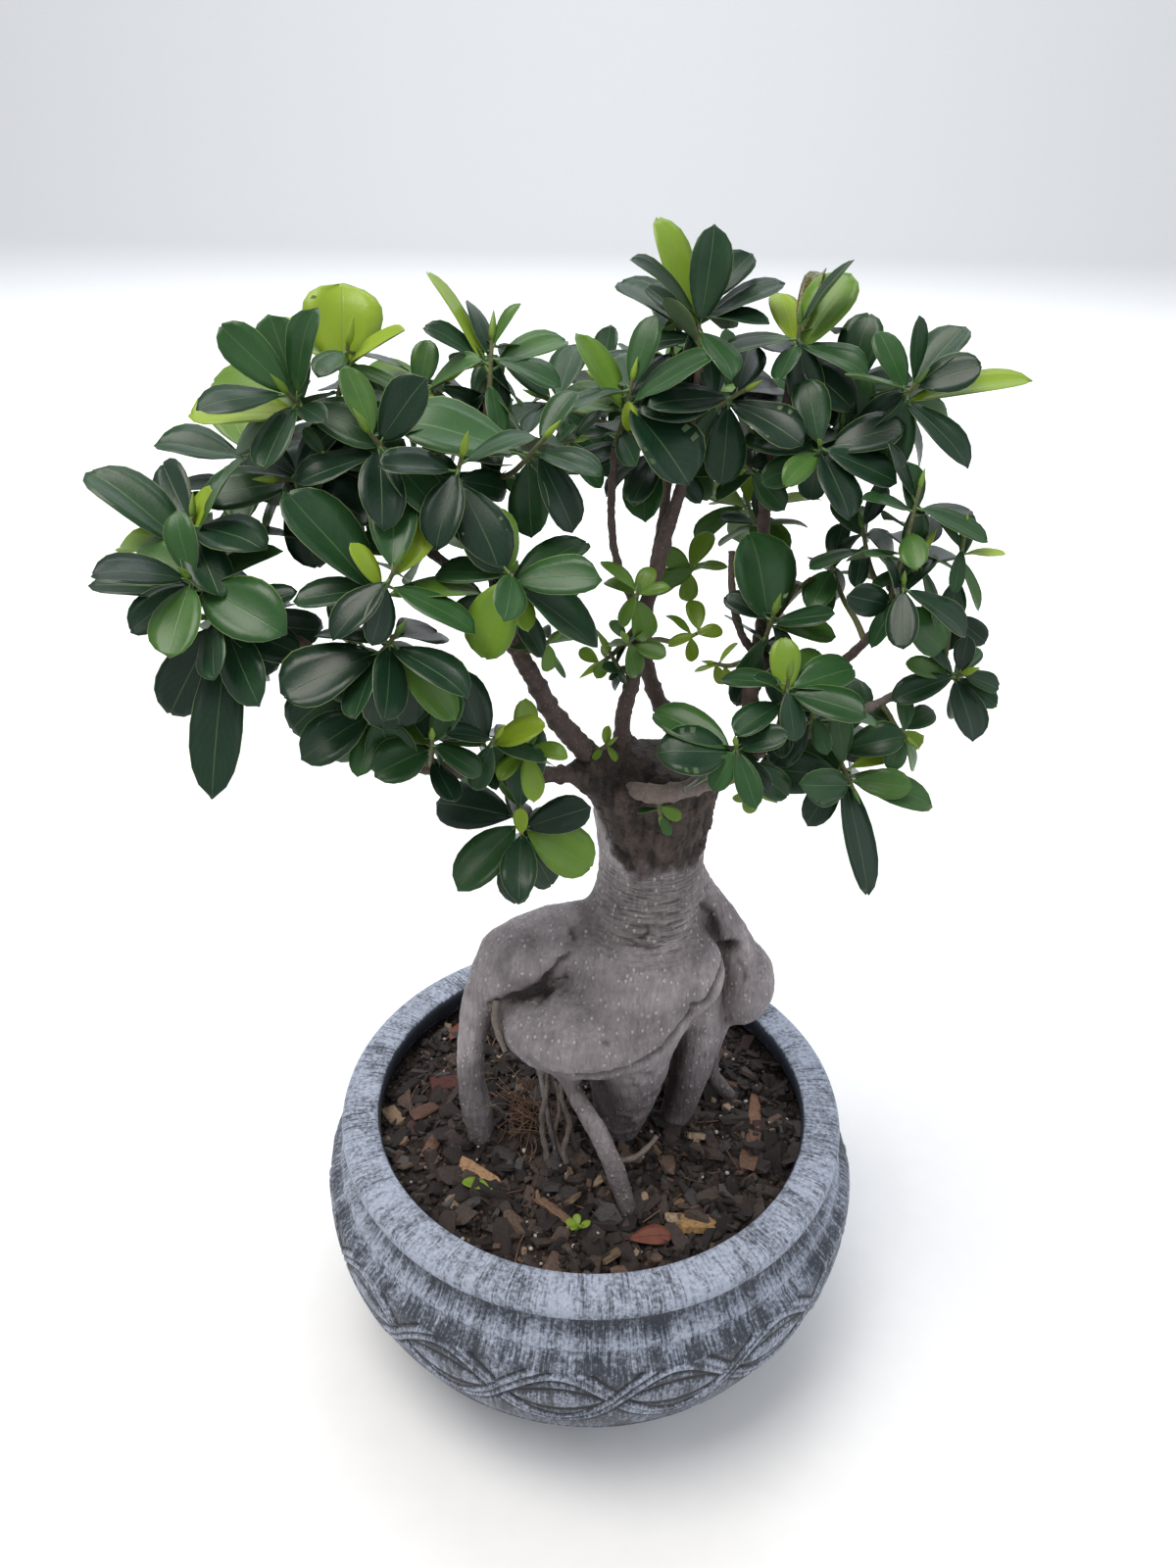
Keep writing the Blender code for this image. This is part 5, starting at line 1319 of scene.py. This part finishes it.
def addLeaf(batch, rng, base, axes, length, share, tone, spin=9):
    scorch = 1.0 if tone > 1.5 else 0.0
    tone = 0.55 if scorch else tone
    form = (rng.uniform(0.06, 0.36), rng.uniform(0.04, 0.17), rng.uniform(-0.06, 0.16),
        rng.uniform(-0.40, 0.40), rng.uniform(0.01, 0.07), rng.uniform(0, 6))
    roll = Matrix.Rotation(math.radians(rng.gauss(0, spin)), 3, axes[0])
    axes = (axes[0], roll @ axes[1], roll @ axes[2])
    if scorch:
        form = (0.9, 0.12, 0.4, 0.6, 0.15, form[5])
    top, bottom = leafVerts(base, axes, length, share, form)
    grid = [(row[0], 0.5 + 0.5 * across) for row in bladeRows for across in bladeAcross]
    mixed = min(1.0, max(0.0, tone + rng.uniform(-0.04, 0.14)))
    addToBatch(batch, list(top) + list(bottom), bladeFaceList, grid * 2, mixed, [0.0] * len(top)
        + [1.0] * len(bottom), scorch)
    way = axes[0]
    foot = Vector(base) - way * 0.4
    verts, faces = stalkVerts(foot, Vector(base) + way * length * 0.13 - axes[2] * 0.35, (0, 0, 0.15),
        0.62)
    addToBatch(batch, verts, faces, [(0.05, 0.5)] * len(verts), max(mixed, 0.45), [0.5] * len(verts),
        0.0)


def addBud(batch, tip, heading, size, tone):
    # the pointed sheath at the end of a growing shoot
    verts, faces = [], []
    heading = np.array(heading)
    side = np.cross(heading, (0.2, 0.9, 0.1))
    side /= np.linalg.norm(side)
    up = np.cross(side, heading)
    rows = ((-0.15, 0.5), (0.1, 0.95), (0.35, 1.0), (0.65, 0.62), (0.9, 0.25), (1.0, 0.04))
    for t, r in rows:
        for k in range(7):
            a = math.tau * k / 7
            verts.append(np.array(tip) + heading * size * t + (side * math.cos(a) + up * math.sin(a))
                * r * size * 0.16)
    for i in range(len(rows) - 1):
        for k in range(7):
            a, b = i * 7 + k, i * 7 + (k + 1) % 7
            faces.append((b, a, a + 7, b + 7))
    faces.append(tuple(range(7)))
    faces.append(tuple(len(verts) - 1 - k for k in range(7)))
    addToBatch(batch, verts, faces, [(0.3, 0.2)] * len(verts), tone, [0.3] * len(verts), 0.0)


def makeSpray(name, limb, centre, leaves):
    node = "spray_" + name
    rng = random.Random("spray " + name)
    tree = treeOf(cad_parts[node])
    spot, route = matchRoute(tree, limb, centre, len(leaves))
    path = [(*point, leafSet["stemRadius"]) for point in route]
    reach = (route[1] - route[0]).length + (route[2] - route[1]).length
    leans = leafSet["leans"]
    wanted = [(a, leans[i % len(leans)], l, s, t) for i, (a, l, s, t) in enumerate(leaves)]
    size = sum(leaf[1] for leaf in leaves) / len(leaves)
    wanted += [(35, -62, size, 0.5, 0.0), (150, -68, size * 0.9, 0.5, 0.0)]
    pace = min(leafSet["step"], (reach - 3.0) / len(wanted))
    batch = newBatch()
    found = 0
    for index, (angle, lean, length, share, tone) in enumerate(wanted):
        length *= leafSet["lengthGain"]
        share *= leafSet["widthGain"]
        base, axis = backFromTip(path, 1.5 + pace * (len(wanted) - 1 - index))
        axes = matchLeaf(tree, base, axis, angle, lean, length)
        if axes is None:
            continue
        found += 1
        addLeaf(batch, rng, base, axes, length, share, tone)
        takenSpots.extend(leafSpots(base, axes[0], length, share))
    return {"name": name, "rng": rng, "batch": batch, "route": route, "spot": spot, "size": size,
        "path": path, "found": found, "asked": len(wanted)}


def addExtraLeaves(job):
    # smaller and older leaves lower on the stem, only where there is room
    rng, path = job["rng"], job["path"]
    route = job["route"]
    reach = (route[1] - route[0]).length + (route[2] - route[1]).length
    placed = 0
    for _ in range(60):
        if placed >= leafSet["extra"]:
            break
        base, axis = backFromTip(path, rng.uniform(0.1, 0.95) * reach)
        length = job["size"] * rng.uniform(0.62, 1.05) * 1.1
        share = rng.uniform(0.42, 0.62)
        axes = leafWay(axis, rng.uniform(0, 360), rng.uniform(-75, 45))
        spots = leafSpots(base, axes[0], length, share)
        if not hasRoom(spots[1:], np.array(takenSpots)):
            continue
        addLeaf(job["batch"], rng, base, axes, length, share,
            rng.choice((0.0, 0.0, 0.05, 0.1, 0.15, 0.3)), 24)
        takenSpots.extend(spots)
        placed += 1
    return placed


def makeShoot(name, limb, centre, count, size, tone):
    # a short side shoot with its leaves spiralling up the stem
    rng = random.Random("shoot " + name)
    centre = Vector(centre)
    spot = nearestOnLimb(limbLines[limb][1], centre - Vector((0, 0, 6)))[0]
    start = spot + (centre - spot) * 0.25
    bend = (start + centre) * 0.5 - Vector((0, 0, 0.10 * (centre - start).length))
    route = (start, bend, centre)
    path = [(*point, 1.0) for point in route]
    reach = (bend - start).length + (centre - bend).length
    batch = newBatch()
    turn = rng.uniform(0, 360)
    for index in range(count):
        turn += 137.5
        base, axis = backFromTip(path, min(0.8 + 1.5 * index, reach * 0.8))
        length = size * rng.uniform(0.75, 1.2)
        share = rng.uniform(0.42, 0.6)
        for _ in range(10):
            axes = leafWay(axis, turn + rng.uniform(-25, 25), rng.uniform(-45, 35))
            spots = leafSpots(base, axes[0], length, share)
            if hasRoom(spots[1:], np.array(takenSpots)):
                break
        else:
            length *= 0.6
        addLeaf(batch, rng, base, axes, length, share, tone + rng.uniform(-0.1, 0.15), 20)
        takenSpots.extend(leafSpots(base, axes[0], length, share))
    return {"name": name, "rng": rng, "batch": batch, "route": route, "spot": spot}


def finishSpray(job, stemMaterial):
    rng, batch, route = job["rng"], job["batch"], job["route"]
    heading = (route[2] - route[1]).normalized()
    addBud(batch, route[2], heading, rng.uniform(7, 11), rng.choice((0.5, 0.7, 0.9)))
    piece = batchPiece("leaves_" + job["name"], batch, leafMaterial)
    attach(piece, "root")
    if "path" in job:
        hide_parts("spray_" + job["name"])
    line = [(*job["spot"], 1.5), (*route[0], 1.35), (*route[1], 1.15), (*route[2], 0.85)]
    stem = tubeObject("stem_" + job["name"], evenPath(line, 1.2), 3)
    stem.data.shade_smooth()
    stem.data.materials.clear()
    stem.data.materials.append(stemMaterial)
    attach(stem, "root")


def makeSprays():
    stemMaterial = makeTwigMaterial("green ficus shoot", "47502f", "6d6b45", "8b8a6a", 500.0)
    jobs = [makeSpray(name, *data) for name, data in sprayLeaves.items()]
    extra = sum(addExtraLeaves(job) for job in jobs)
    shoots = [makeShoot(name, *data) for name, data in sideShoots.items()]
    for job in jobs + shoots:
        finishSpray(job, stemMaterial)
    print("leaves found", sum(j["found"] for j in jobs), "of", sum(j["asked"] for j in jobs), "and",
        extra, "more")


makeSprays()
print("sprays ready")


# soil: dark potting mix under bark chips, with perlite, grit and root fibres

soilSet = {"radius": 127.0, "chips": 1300, "perlite": 230, "fibres": 70, "crumbs": 2300,
    "tuftHairs": 190, "chipReach": 117, "crumbReach": 119, "wallReach": 124, "hairReach": 115,
    "fibreReach": 108, "crumbTones": 76}


def soilHeight(x, y):
    # low mounds and hollows, in millimetres; it sinks a little towards the wall
    x, y = np.asarray(x, float), np.asarray(y, float)
    away = np.hypot(x, y)
    flat = np.stack([x, y, np.zeros_like(x)], -1).reshape(-1, 3)
    bumps = noiseAt(flat, 0.045, 21.0, 3).reshape(x.shape)
    level = np.interp(away, [0, 40, 80, 112, 128], [122.0, 122.0, 121.5, 119.5, 116.5])
    tuft = 9.0 * np.exp(-((x + 33) ** 2 + (y + 8) ** 2) / 420.0)
    return level + 1.6 * bumps + tuft


def makeSoilMaterial():
    # peaty mix: near-black crumbs with brown fibre and pale specks
    material, tree, shader = newMaterial("peat potting mix")
    coord = addNode(tree, "TexCoord").outputs["Object"]
    clump = addNode(tree, "TexNoise", None, {"Vector": coord,
            "Scale": 260.0, "Detail": 6.0, "Roughness": 0.7})      # 4 mm clumps
    crumb = addNode(tree, "TexVoronoi", None, {"Vector": coord,
            "Scale": 620.0})                                       # 1.6 mm crumbs
    pick = addNode(tree, "SeparateColor", None, {"Color": crumb.outputs["Color"]})
    base = addNode(tree, "ValToRGB", None, {"Fac": clump})
    base.color_ramp.elements[0].position = 0.35
    base.color_ramp.elements[0].color = fromHex("17110f")
    base.color_ramp.elements[1].position = 0.70
    base.color_ramp.elements[1].color = fromHex("4a3a31")
    pale = addNode(tree, "MapRange", None, {"Value": pick, "From Min": 0.90, "From Max": 0.97,
        "To Max": 0.6})
    colour = addNode(tree, "Mix", {"data_type": "RGBA"}, {0: pale, 6: base, 7: fromHex("8a7563")})
    tree.links.new(colour.outputs[2], shader.inputs["Base Color"])
    shader.inputs["Roughness"].default_value = 0.93
    rise = addNode(tree, "Math", {"operation": "SUBTRACT"}, {0: clump, 1: crumb})
    bump = addNode(tree, "Bump", None, {"Height": rise, "Strength": 0.9, "Distance": 0.0016})
    tree.links.new(bump.outputs["Normal"], shader.inputs["Normal"])
    return material


def makeChipMaterial():
    # pine bark and wood chips: split grain along the chip, every chip its own tone
    material, tree, shader = newMaterial("split pine bark chips")
    shade = addNode(tree, "Attribute", {"attribute_name": "chipColour"})
    uv = addNode(tree, "UVMap", {"uv_map": "pieceUv"})
    coord = addNode(tree, "TexCoord").outputs["Object"]
    grainPlace = addNode(tree, "Mapping", None, {"Vector": uv, "Scale": (3.0, 26.0, 1.0)})
    grain = addNode(tree, "TexNoise", None, {"Vector": grainPlace, "Scale": 1.0, "Detail": 4.0,
        "Roughness": 0.6})
    dirt = addNode(tree, "TexNoise", None, {"Vector": coord, "Scale": 520.0, "Detail": 5.0,
        "Roughness": 0.7})
    lined = addNode(tree, "Mix", {"data_type": "RGBA", "blend_type": "OVERLAY"},
        {0: 0.75, 6: shade.outputs["Color"], 7: grain})
    amount = addNode(tree, "MapRange", None, {"Value": dirt, "From Min": 0.48, "From Max": 0.72,
        "To Max": 0.75})
    dirty = addNode(tree, "Mix", {"data_type": "RGBA"}, {0: amount, 6: lined.outputs[2],
        7: fromHex("241a16")})
    tree.links.new(dirty.outputs[2], shader.inputs["Base Color"])
    shader.inputs["Roughness"].default_value = 0.82
    rise = addNode(tree, "Math", {"operation": "ADD"}, {0: grain, 1: dirt})
    bump = addNode(tree, "Bump", None, {"Height": rise, "Strength": 0.7, "Distance": 0.0007})
    tree.links.new(bump.outputs["Normal"], shader.inputs["Normal"])
    return material


def chipForm():
    # one broken chip: a bevelled block, modelled once and then reshaped for every chip
    backToObject()
    bpy.ops.mesh.primitive_cube_add(size=1.0)
    chip = bpy.context.object
    bpy.ops.object.mode_set(mode="EDIT")
    bpy.ops.mesh.select_all(action="SELECT")
    bpy.ops.mesh.bevel(offset=0.14, segments=1, affect="EDGES")
    bpy.ops.object.mode_set(mode="OBJECT")
    verts = coordsOf(chip)
    faces = [tuple(p.vertices) for p in chip.data.polygons]
    bpy.data.objects.remove(chip)
    return verts, faces


def turnFrom(heading, tilt, roll):
    return np.array((Matrix.Rotation(heading, 3, "Z") @ Matrix.Rotation(tilt, 3, "Y")
        @ Matrix.Rotation(roll, 3, "X")))


def scatter(rng, limit):
    while True:
        x, y = rng.uniform(-limit, limit), rng.uniform(-limit, limit)
        if math.hypot(x, y) < limit:
            return x, y


def makeSoil():
    backToObject()
    rings, turns = 92, 300
    verts, faces = [(0.0, 0.0, float(soilHeight(0, 0)))], []
    radii = soilSet["radius"] * (np.arange(1, rings + 1) / rings)
    angles = math.tau * np.arange(turns) / turns
    xs = radii[:, None] * np.cos(angles)[None, :]
    ys = radii[:, None] * np.sin(angles)[None, :]
    zs = soilHeight(xs, ys)
    flat = np.stack([xs, ys, zs], -1).reshape(-1, 3)
    inner = (radii < soilSet["wallReach"])[:, None] * np.ones(turns)[None, :]
    flat[:, 2] += inner.ravel() * (1.5 * noiseAt(flat, 0.22, 31.0, 3) + 0.5 * noiseAt(flat, 0.6, 5.0,
        2))
    verts += [tuple(v) for v in flat]
    for k in range(turns):
        faces.append((0, 1 + k, 1 + (k + 1) % turns))
    for i in range(rings - 1):
        for k in range(turns):
            a, b = 1 + i * turns + k, 1 + i * turns + (k + 1) % turns
            faces.append((a, a + turns, b + turns, b))
    lower = [(bellyRadius(h) - 9.7, h) for h in (92, 70, 45, 20)] + [(bellyRadius(14) - 18.6, 10.6)]
    last = 1 + (rings - 1) * turns
    for r, h in lower:
        start = len(verts)
        verts += [(r * math.cos(a), r * math.sin(a), h) for a in angles]
        for k in range(turns):
            faces.append((last + k, start + k, start + (k + 1) % turns, last + (k + 1) % turns))
        last = start
    verts.append((0.0, 0.0, 10.6))
    for k in range(turns):
        faces.append((len(verts) - 1, last + (k + 1) % turns, last + k))
    soil = meshPiece("pottingMix", np.array(verts) * mm, faces, material=makeSoilMaterial())
    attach(soil, "root")
    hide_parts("soil")


# chip tones and how often each turns up
chipTones = (("231e1c", 28), ("312926", 28), ("413733", 22), ("53463e", 13), ("4a4745", 12),
    ("655247", 6), ("7d6752", 4), ("a08a72", 2), ("43302d", 2))
# chips that stand out: x, y, length, width, heading in degrees, tone
markedChips = ((-61, -48, 26, 8, -32, "a5815f"), (95, 5, 30, 8, 82, "7d5c47"),
    (56, -78, 20, 10, 2, "9c7a4e"), (-92, -2, 24, 9, 40, "6a4c3f"), (74, 28, 33, 8, -28, "6f5344"),
    (-18, -72, 24, 7, -38, "8f7059"), (90, -26, 32, 10, 76, "6b5040"),
    (-86, 18, 22, 12, 20, "5b332c"), (-70, -66, 12, 8, 30, "8b7360"), (-88, -30, 18, 8, 75, "6d4f40"))


def makeChips():
    rng = random.Random(41)
    verts0, faces0 = chipForm()
    bag = [code for code, often in chipTones for _ in range(often)]
    verts, faces, uvs, colours = [], [], [], []
    jobs = [(x, y, l, w, w * 0.4, math.radians(h), 0.10, code, 1.6) for x, y, l, w, h,
        code in markedChips]
    for _ in range(soilSet["chips"]):
        x, y = scatter(rng, soilSet["chipReach"])
        length = rng.choice((4, 5, 6, 8, 10, 13, 17)) * rng.uniform(0.8, 1.25)
        width = length * rng.uniform(0.32, 0.75)
        jobs.append((x, y, length, width, rng.uniform(1.8, 4.6), rng.uniform(0, math.tau),
            rng.uniform(-0.75, 0.75), rng.choice(bag), rng.uniform(-0.6, 2.4)))
    for _ in range(soilSet["crumbs"]):
        x, y = scatter(rng, soilSet["crumbReach"])
        size = rng.uniform(1.4, 3.8)
        jobs.append((x, y, size * 1.4, size, size * 0.7, rng.uniform(0, math.tau),
            rng.uniform(-0.8, 0.8), rng.choice(bag[:soilSet["crumbTones"]]), 0.6))
    heights = soilHeight([job[0] for job in jobs], [job[1] for job in jobs])
    for job, z in zip(jobs, heights):
        x, y, length, width, thick, heading, tilt, code, lift = job
        reach = math.hypot(x, y) + length * 0.5
        if reach > soilSet["wallReach"]:
            heading = math.atan2(y, x) + math.pi / 2 + rng.uniform(-0.3, 0.3)
        box = verts0 * (1 + np.array([[rng.uniform(-0.22, 0.22) for _ in range(3)] for _ in verts0]))
        taper = 1 - rng.uniform(0.0, 0.5) * (box[:, :1] + 0.5)
        box[:, 1:2] *= taper
        shaped = box * (length, width, thick)
        placed = shaped @ turnFrom(heading, tilt, rng.uniform(-0.5, 0.5)).T + (x, y, z + lift)
        start = len(verts)
        verts.extend(placed)
        faces.extend(tuple(v + start for v in face) for face in faces0)
        off = rng.uniform(0, 40)
        uvs.extend((b[0] * length * 0.1 + off, b[1] * width * 0.1 + b[2] * 0.2 + off) for b in box)
        tone = fromHex(code)
        gain = rng.uniform(0.75, 1.25)
        colours.extend([(tone[0] * gain, tone[1] * gain, tone[2] * gain, 1.0)] * len(box))
    chips = meshPiece("barkChips", np.array(verts) * mm, faces, uvs, None, {"chipColour": colours},
        makeChipMaterial())
    chips.data.shade_flat()
    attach(chips, "root")


def makePerlite():
    # white puffed grit, 1 to 3 mm
    rng = random.Random(5)
    backToObject()
    bpy.ops.mesh.primitive_ico_sphere_add(subdivisions=1, radius=1.0)
    seed = bpy.context.object
    ball = coordsOf(seed)
    ballFaces = [tuple(p.vertices) for p in seed.data.polygons]
    bpy.data.objects.remove(seed)
    spots = [scatter(rng, soilSet["chipReach"]) for _ in range(soilSet["perlite"])]
    heights = soilHeight([s[0] for s in spots], [s[1] for s in spots])
    verts, faces = [], []
    for (x, y), z in zip(spots, heights):
        size = rng.uniform(0.5, 1.5)
        lump = ball * np.array([[rng.uniform(0.7, 1.25)] for _ in ball]) * size
        start = len(verts)
        verts.extend(lump + (x, y, z + 1.4))
        faces.extend(tuple(v + start for v in face) for face in ballFaces)
    material, tree, shader = newMaterial("puffed perlite")     # chalky white, slightly stained
    coord = addNode(tree, "TexCoord").outputs["Object"]
    stain = addNode(tree, "TexNoise", None, {"Vector": coord, "Scale": 300.0, "Detail": 3.0})
    colour = addNode(tree, "Mix", {"data_type": "RGBA"}, {0: stain, 6: fromHex("8d857c"),
        7: fromHex("dcd8d0")})
    tree.links.new(colour.outputs[2], shader.inputs["Base Color"])
    shader.inputs["Roughness"].default_value = 0.9
    piece = meshPiece("perliteGrit", np.array(verts) * mm, faces, material=material)
    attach(piece, "root")


def thinTube(points, radius, sides=5):
    # a fine closed tube along a polyline, as vertices and faces
    pts = np.array(points, float)
    ahead = np.gradient(pts, axis=0)
    ahead /= np.linalg.norm(ahead, axis=1)[:, None]
    verts, faces = [], []
    side = np.cross(ahead[0], (0.31, 0.17, 0.93))
    for i, (spot, way) in enumerate(zip(pts, ahead)):
        side = side - way * (side @ way)
        side /= np.linalg.norm(side)
        up = np.cross(way, side)
        r = radius[i] if hasattr(radius, "__len__") else radius
        for k in range(sides):
            a = math.tau * k / sides
            verts.append(spot + (side * math.cos(a) + up * math.sin(a)) * r)
    for i in range(len(pts) - 1):
        for k in range(sides):
            a, b = i * sides + k, i * sides + (k + 1) % sides
            faces.append((a, b, b + sides, a + sides))
    faces.append(tuple(range(sides))[::-1])
    faces.append(tuple(len(verts) - sides + k for k in range(sides)))
    return verts, faces


# thin aerial roots: (x, y, z, radius) in millimetres
aerialRoots = (
    ((-50, -30, 228, 1.6), (-51, -34, 219, 1.8), (-48, -38, 210, 1.7), (-45, -40, 203, 1.2)),
    ((-24, -34, 186, 1.5), (-25, -38, 168, 1.4), (-27, -36, 148, 1.5), (-24, -40, 128, 1.7),
        (-26, -42, 112, 1.8)),
    ((-15, -38, 190, 1.4), (-16, -40, 172, 1.3), (-12, -38, 150, 1.5), (-15, -42, 132, 1.4),
        (-9, -46, 118, 1.5)),
    ((-19, -36, 180, 1.2), (-17, -37, 160, 1.1), (-20, -36, 140, 1.2), (-13, -40, 122, 1.3),
        (-10, -43, 110, 1.4)),
    ((3, -40, 146, 1.4), (8, -45, 137, 1.6), (16, -46, 133, 1.7), (24, -44, 133, 1.6),
        (31, -40, 137, 1.5), (36, -36, 141, 1.1)),
    ((-14, -40, 128, 1.3), (-12, -48, 124, 1.2), (-16, -56, 123, 1.1), (-20, -60, 121, 0.9)),
    ((-58, -26, 150, 1.2), (-54, -20, 144, 1.1), (-50, -16, 136, 1.0), (-47, -14, 124, 1.1)))


def makeAerialRoots():
    verts, faces = [], []
    for line in aerialRoots:
        path = evenPath(line, 1.4)
        wobble = noiseAt(path[:, :3], 0.12, 61.0, 2)
        path[:, 0] += wobble * 0.5
        radius = path[:, 3] * (1 + 0.12 * np.sin(np.arange(len(path)) * 1.1))
        tube, tubeFaces = thinTube(path[:, :3], radius, 10)
        start = len(verts)
        verts.extend(tube)
        faces.extend(tuple(v + start for v in face) for face in tubeFaces)
    material = makeTwigMaterial("thin aerial roots", "5c5048", "8f847b", "a79b8f", 600.0)
    piece = meshPiece("aerialRoots", np.array(verts) * mm, faces, material=material)
    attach(piece, "root")


def makeFibres():
    # loose brown root hairs: a tuft between the legs and strands over the soil
    rng = random.Random(77)
    verts, faces = [], []
    tracks = []
    for _ in range(soilSet["tuftHairs"]):      # the tuft under the belly
        x, y = -34 + rng.gauss(0, 7), -10 + rng.gauss(0, 9)
        z = 126 + rng.uniform(-2, 12)
        way = Vector((rng.uniform(-1, 1), rng.uniform(-1, 1), rng.uniform(-0.5, 0.9)))
        tracks.append((x, y, z, way, rng.uniform(9, 22), 0.28, False))
    for _ in range(soilSet["fibres"]):
        x, y = scatter(rng, soilSet["fibreReach"])
        way = Vector((rng.uniform(-1, 1), rng.uniform(-1, 1), 0.05))
        tracks.append((x, y, None, way, rng.uniform(14, 34), rng.uniform(0.25, 0.45), True))
    for x, y, z, way, length, radius, lies in tracks:
        points = []
        spot = Vector((x, y, z if z else 0))
        way.normalize()
        bend = Vector((rng.uniform(-1, 1), rng.uniform(-1, 1), rng.uniform(-0.6, 0.4)))
        for _ in range(9):
            points.append(tuple(spot))
            way = (way + bend * rng.uniform(0.05, 0.3)).normalized()
            if lies:
                way.z = 0.0
            spot = spot + way * length / 8
        points = np.array(points)
        if lies:
            points[:, 2] = soilHeight(points[:, 0], points[:, 1]) + 2.0
        if np.hypot(points[:, 0], points[:, 1]).max() > soilSet["hairReach"]:
            continue
        tube, tubeFaces = thinTube(points, radius, 4)
        start = len(verts)
        verts.extend(tube)
        faces.extend(tuple(v + start for v in face) for face in tubeFaces)
    material, tree, shader = newMaterial("dry root hair")      # tan fibre, matt
    coord = addNode(tree, "TexCoord").outputs["Object"]
    tint = addNode(tree, "TexNoise", None, {"Vector": coord, "Scale": 90.0, "Detail": 3.0})
    colour = addNode(tree, "Mix", {"data_type": "RGBA"}, {0: tint, 6: fromHex("3f2e26"),
        7: fromHex("94745c")})
    tree.links.new(colour.outputs[2], shader.inputs["Base Color"])
    shader.inputs["Roughness"].default_value = 0.85
    piece = meshPiece("rootHairs", np.array(verts) * mm, faces, material=material)
    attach(piece, "root")


def makeDryLeafMaterial():
    # fallen leaf gone leathery red-brown, veins darker
    material, tree, shader = newMaterial("withered leaf")
    coord = addNode(tree, "TexCoord").outputs["Object"]
    uv = addNode(tree, "UVMap", {"uv_map": "pieceUv"})
    place = addNode(tree, "SeparateXYZ", None, {"Vector": uv})
    offset = addNode(tree, "Math", {"operation": "SUBTRACT"}, {0: place.outputs["Y"], 1: 0.5})
    aside = addNode(tree, "Math", {"operation": "ABSOLUTE"}, {0: offset})
    rib = addNode(tree, "MapRange", None, {"Value": aside, "From Min": 0.01, "From Max": 0.05,
        "To Min": 0.7, "To Max": 0.0})
    patches = addNode(tree, "TexNoise", None, {"Vector": coord, "Scale": 260.0, "Detail": 5.0})
    base = addNode(tree, "Mix", {"data_type": "RGBA"}, {0: patches, 6: fromHex("43211b"),
        7: fromHex("8a4a33")})
    colour = addNode(tree, "Mix", {"data_type": "RGBA"}, {0: rib, 6: base.outputs[2],
        7: fromHex("2c1814")})
    tree.links.new(colour.outputs[2], shader.inputs["Base Color"])
    shader.inputs["Roughness"].default_value = 0.6
    bump = addNode(tree, "Bump", None, {"Height": patches, "Strength": 0.5, "Distance": 0.0006})
    tree.links.new(bump.outputs["Normal"], shader.inputs["Normal"])
    return material


# leaves on the soil: x, y, height, heading in degrees, length, width share, tone, dry
litterLeaves = {
    "fallen_leaf": (-52, -62, 126.6, 160, 17, 0.55, 0.75, False),
    "dead_leaf_front": (18, -91, 126.0, 10, 24, 0.44, 0.0, True),
    "dead_leaf_back": (-88, 52, 125.0, 70, 20, 0.42, 0.0, True)}


def makeLitter():
    dryMaterial = makeDryLeafMaterial()
    for name, (x, y, z, heading, length, share, tone, dry) in litterLeaves.items():
        batch = newBatch()
        turn = math.radians(heading)
        way = Vector((math.cos(turn), math.sin(turn), 0.06)).normalized()
        side = way.cross(Vector((0, 0, 1))).normalized()
        addLeaf(batch, random.Random(name), Vector((x, y, z)), (way, side, side.cross(way)), length,
            share, tone, 2)
        piece = batchPiece("litter_" + name, batch, dryMaterial if dry else leafMaterial)
        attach(piece, "root")
        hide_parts(name)


def makeSeedling():
    rng = random.Random(9)
    batch = newBatch()
    foot = Vector((-7, -86, 122.2))
    for index in range(5):
        turn = math.tau * index / 5 + 0.4
        way = Vector((math.cos(turn), math.sin(turn), 0.35 + 0.12 * index)).normalized()
        side = way.cross(Vector((0, 0, 1))).normalized()
        start = foot + Vector((0.7, 0, 4.6 + 0.7 * index))
        addLeaf(batch, rng, start, (way, side, side.cross(way)), 7.5 - 0.5 * index, 0.62, 0.8)
    verts, faces = thinTube([foot, foot + Vector((0.2, 0, 4)), foot + Vector((0.9, 0, 8.2))],
        [0.75, 0.65, 0.5], 8)
    addToBatch(batch, verts, faces, [(0.3, 0.2)] * len(verts), 0.7, [0.2] * len(verts), 0.0)
    piece = batchPiece("seedlingPlant", batch, leafMaterial)
    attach(piece, "root")
    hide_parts("seedling")


makeSoil()
makeChips()
makePerlite()
makeAerialRoots()
makeFibres()
makeLitter()
makeSeedling()
print("soil, chips, roots and litter ready")
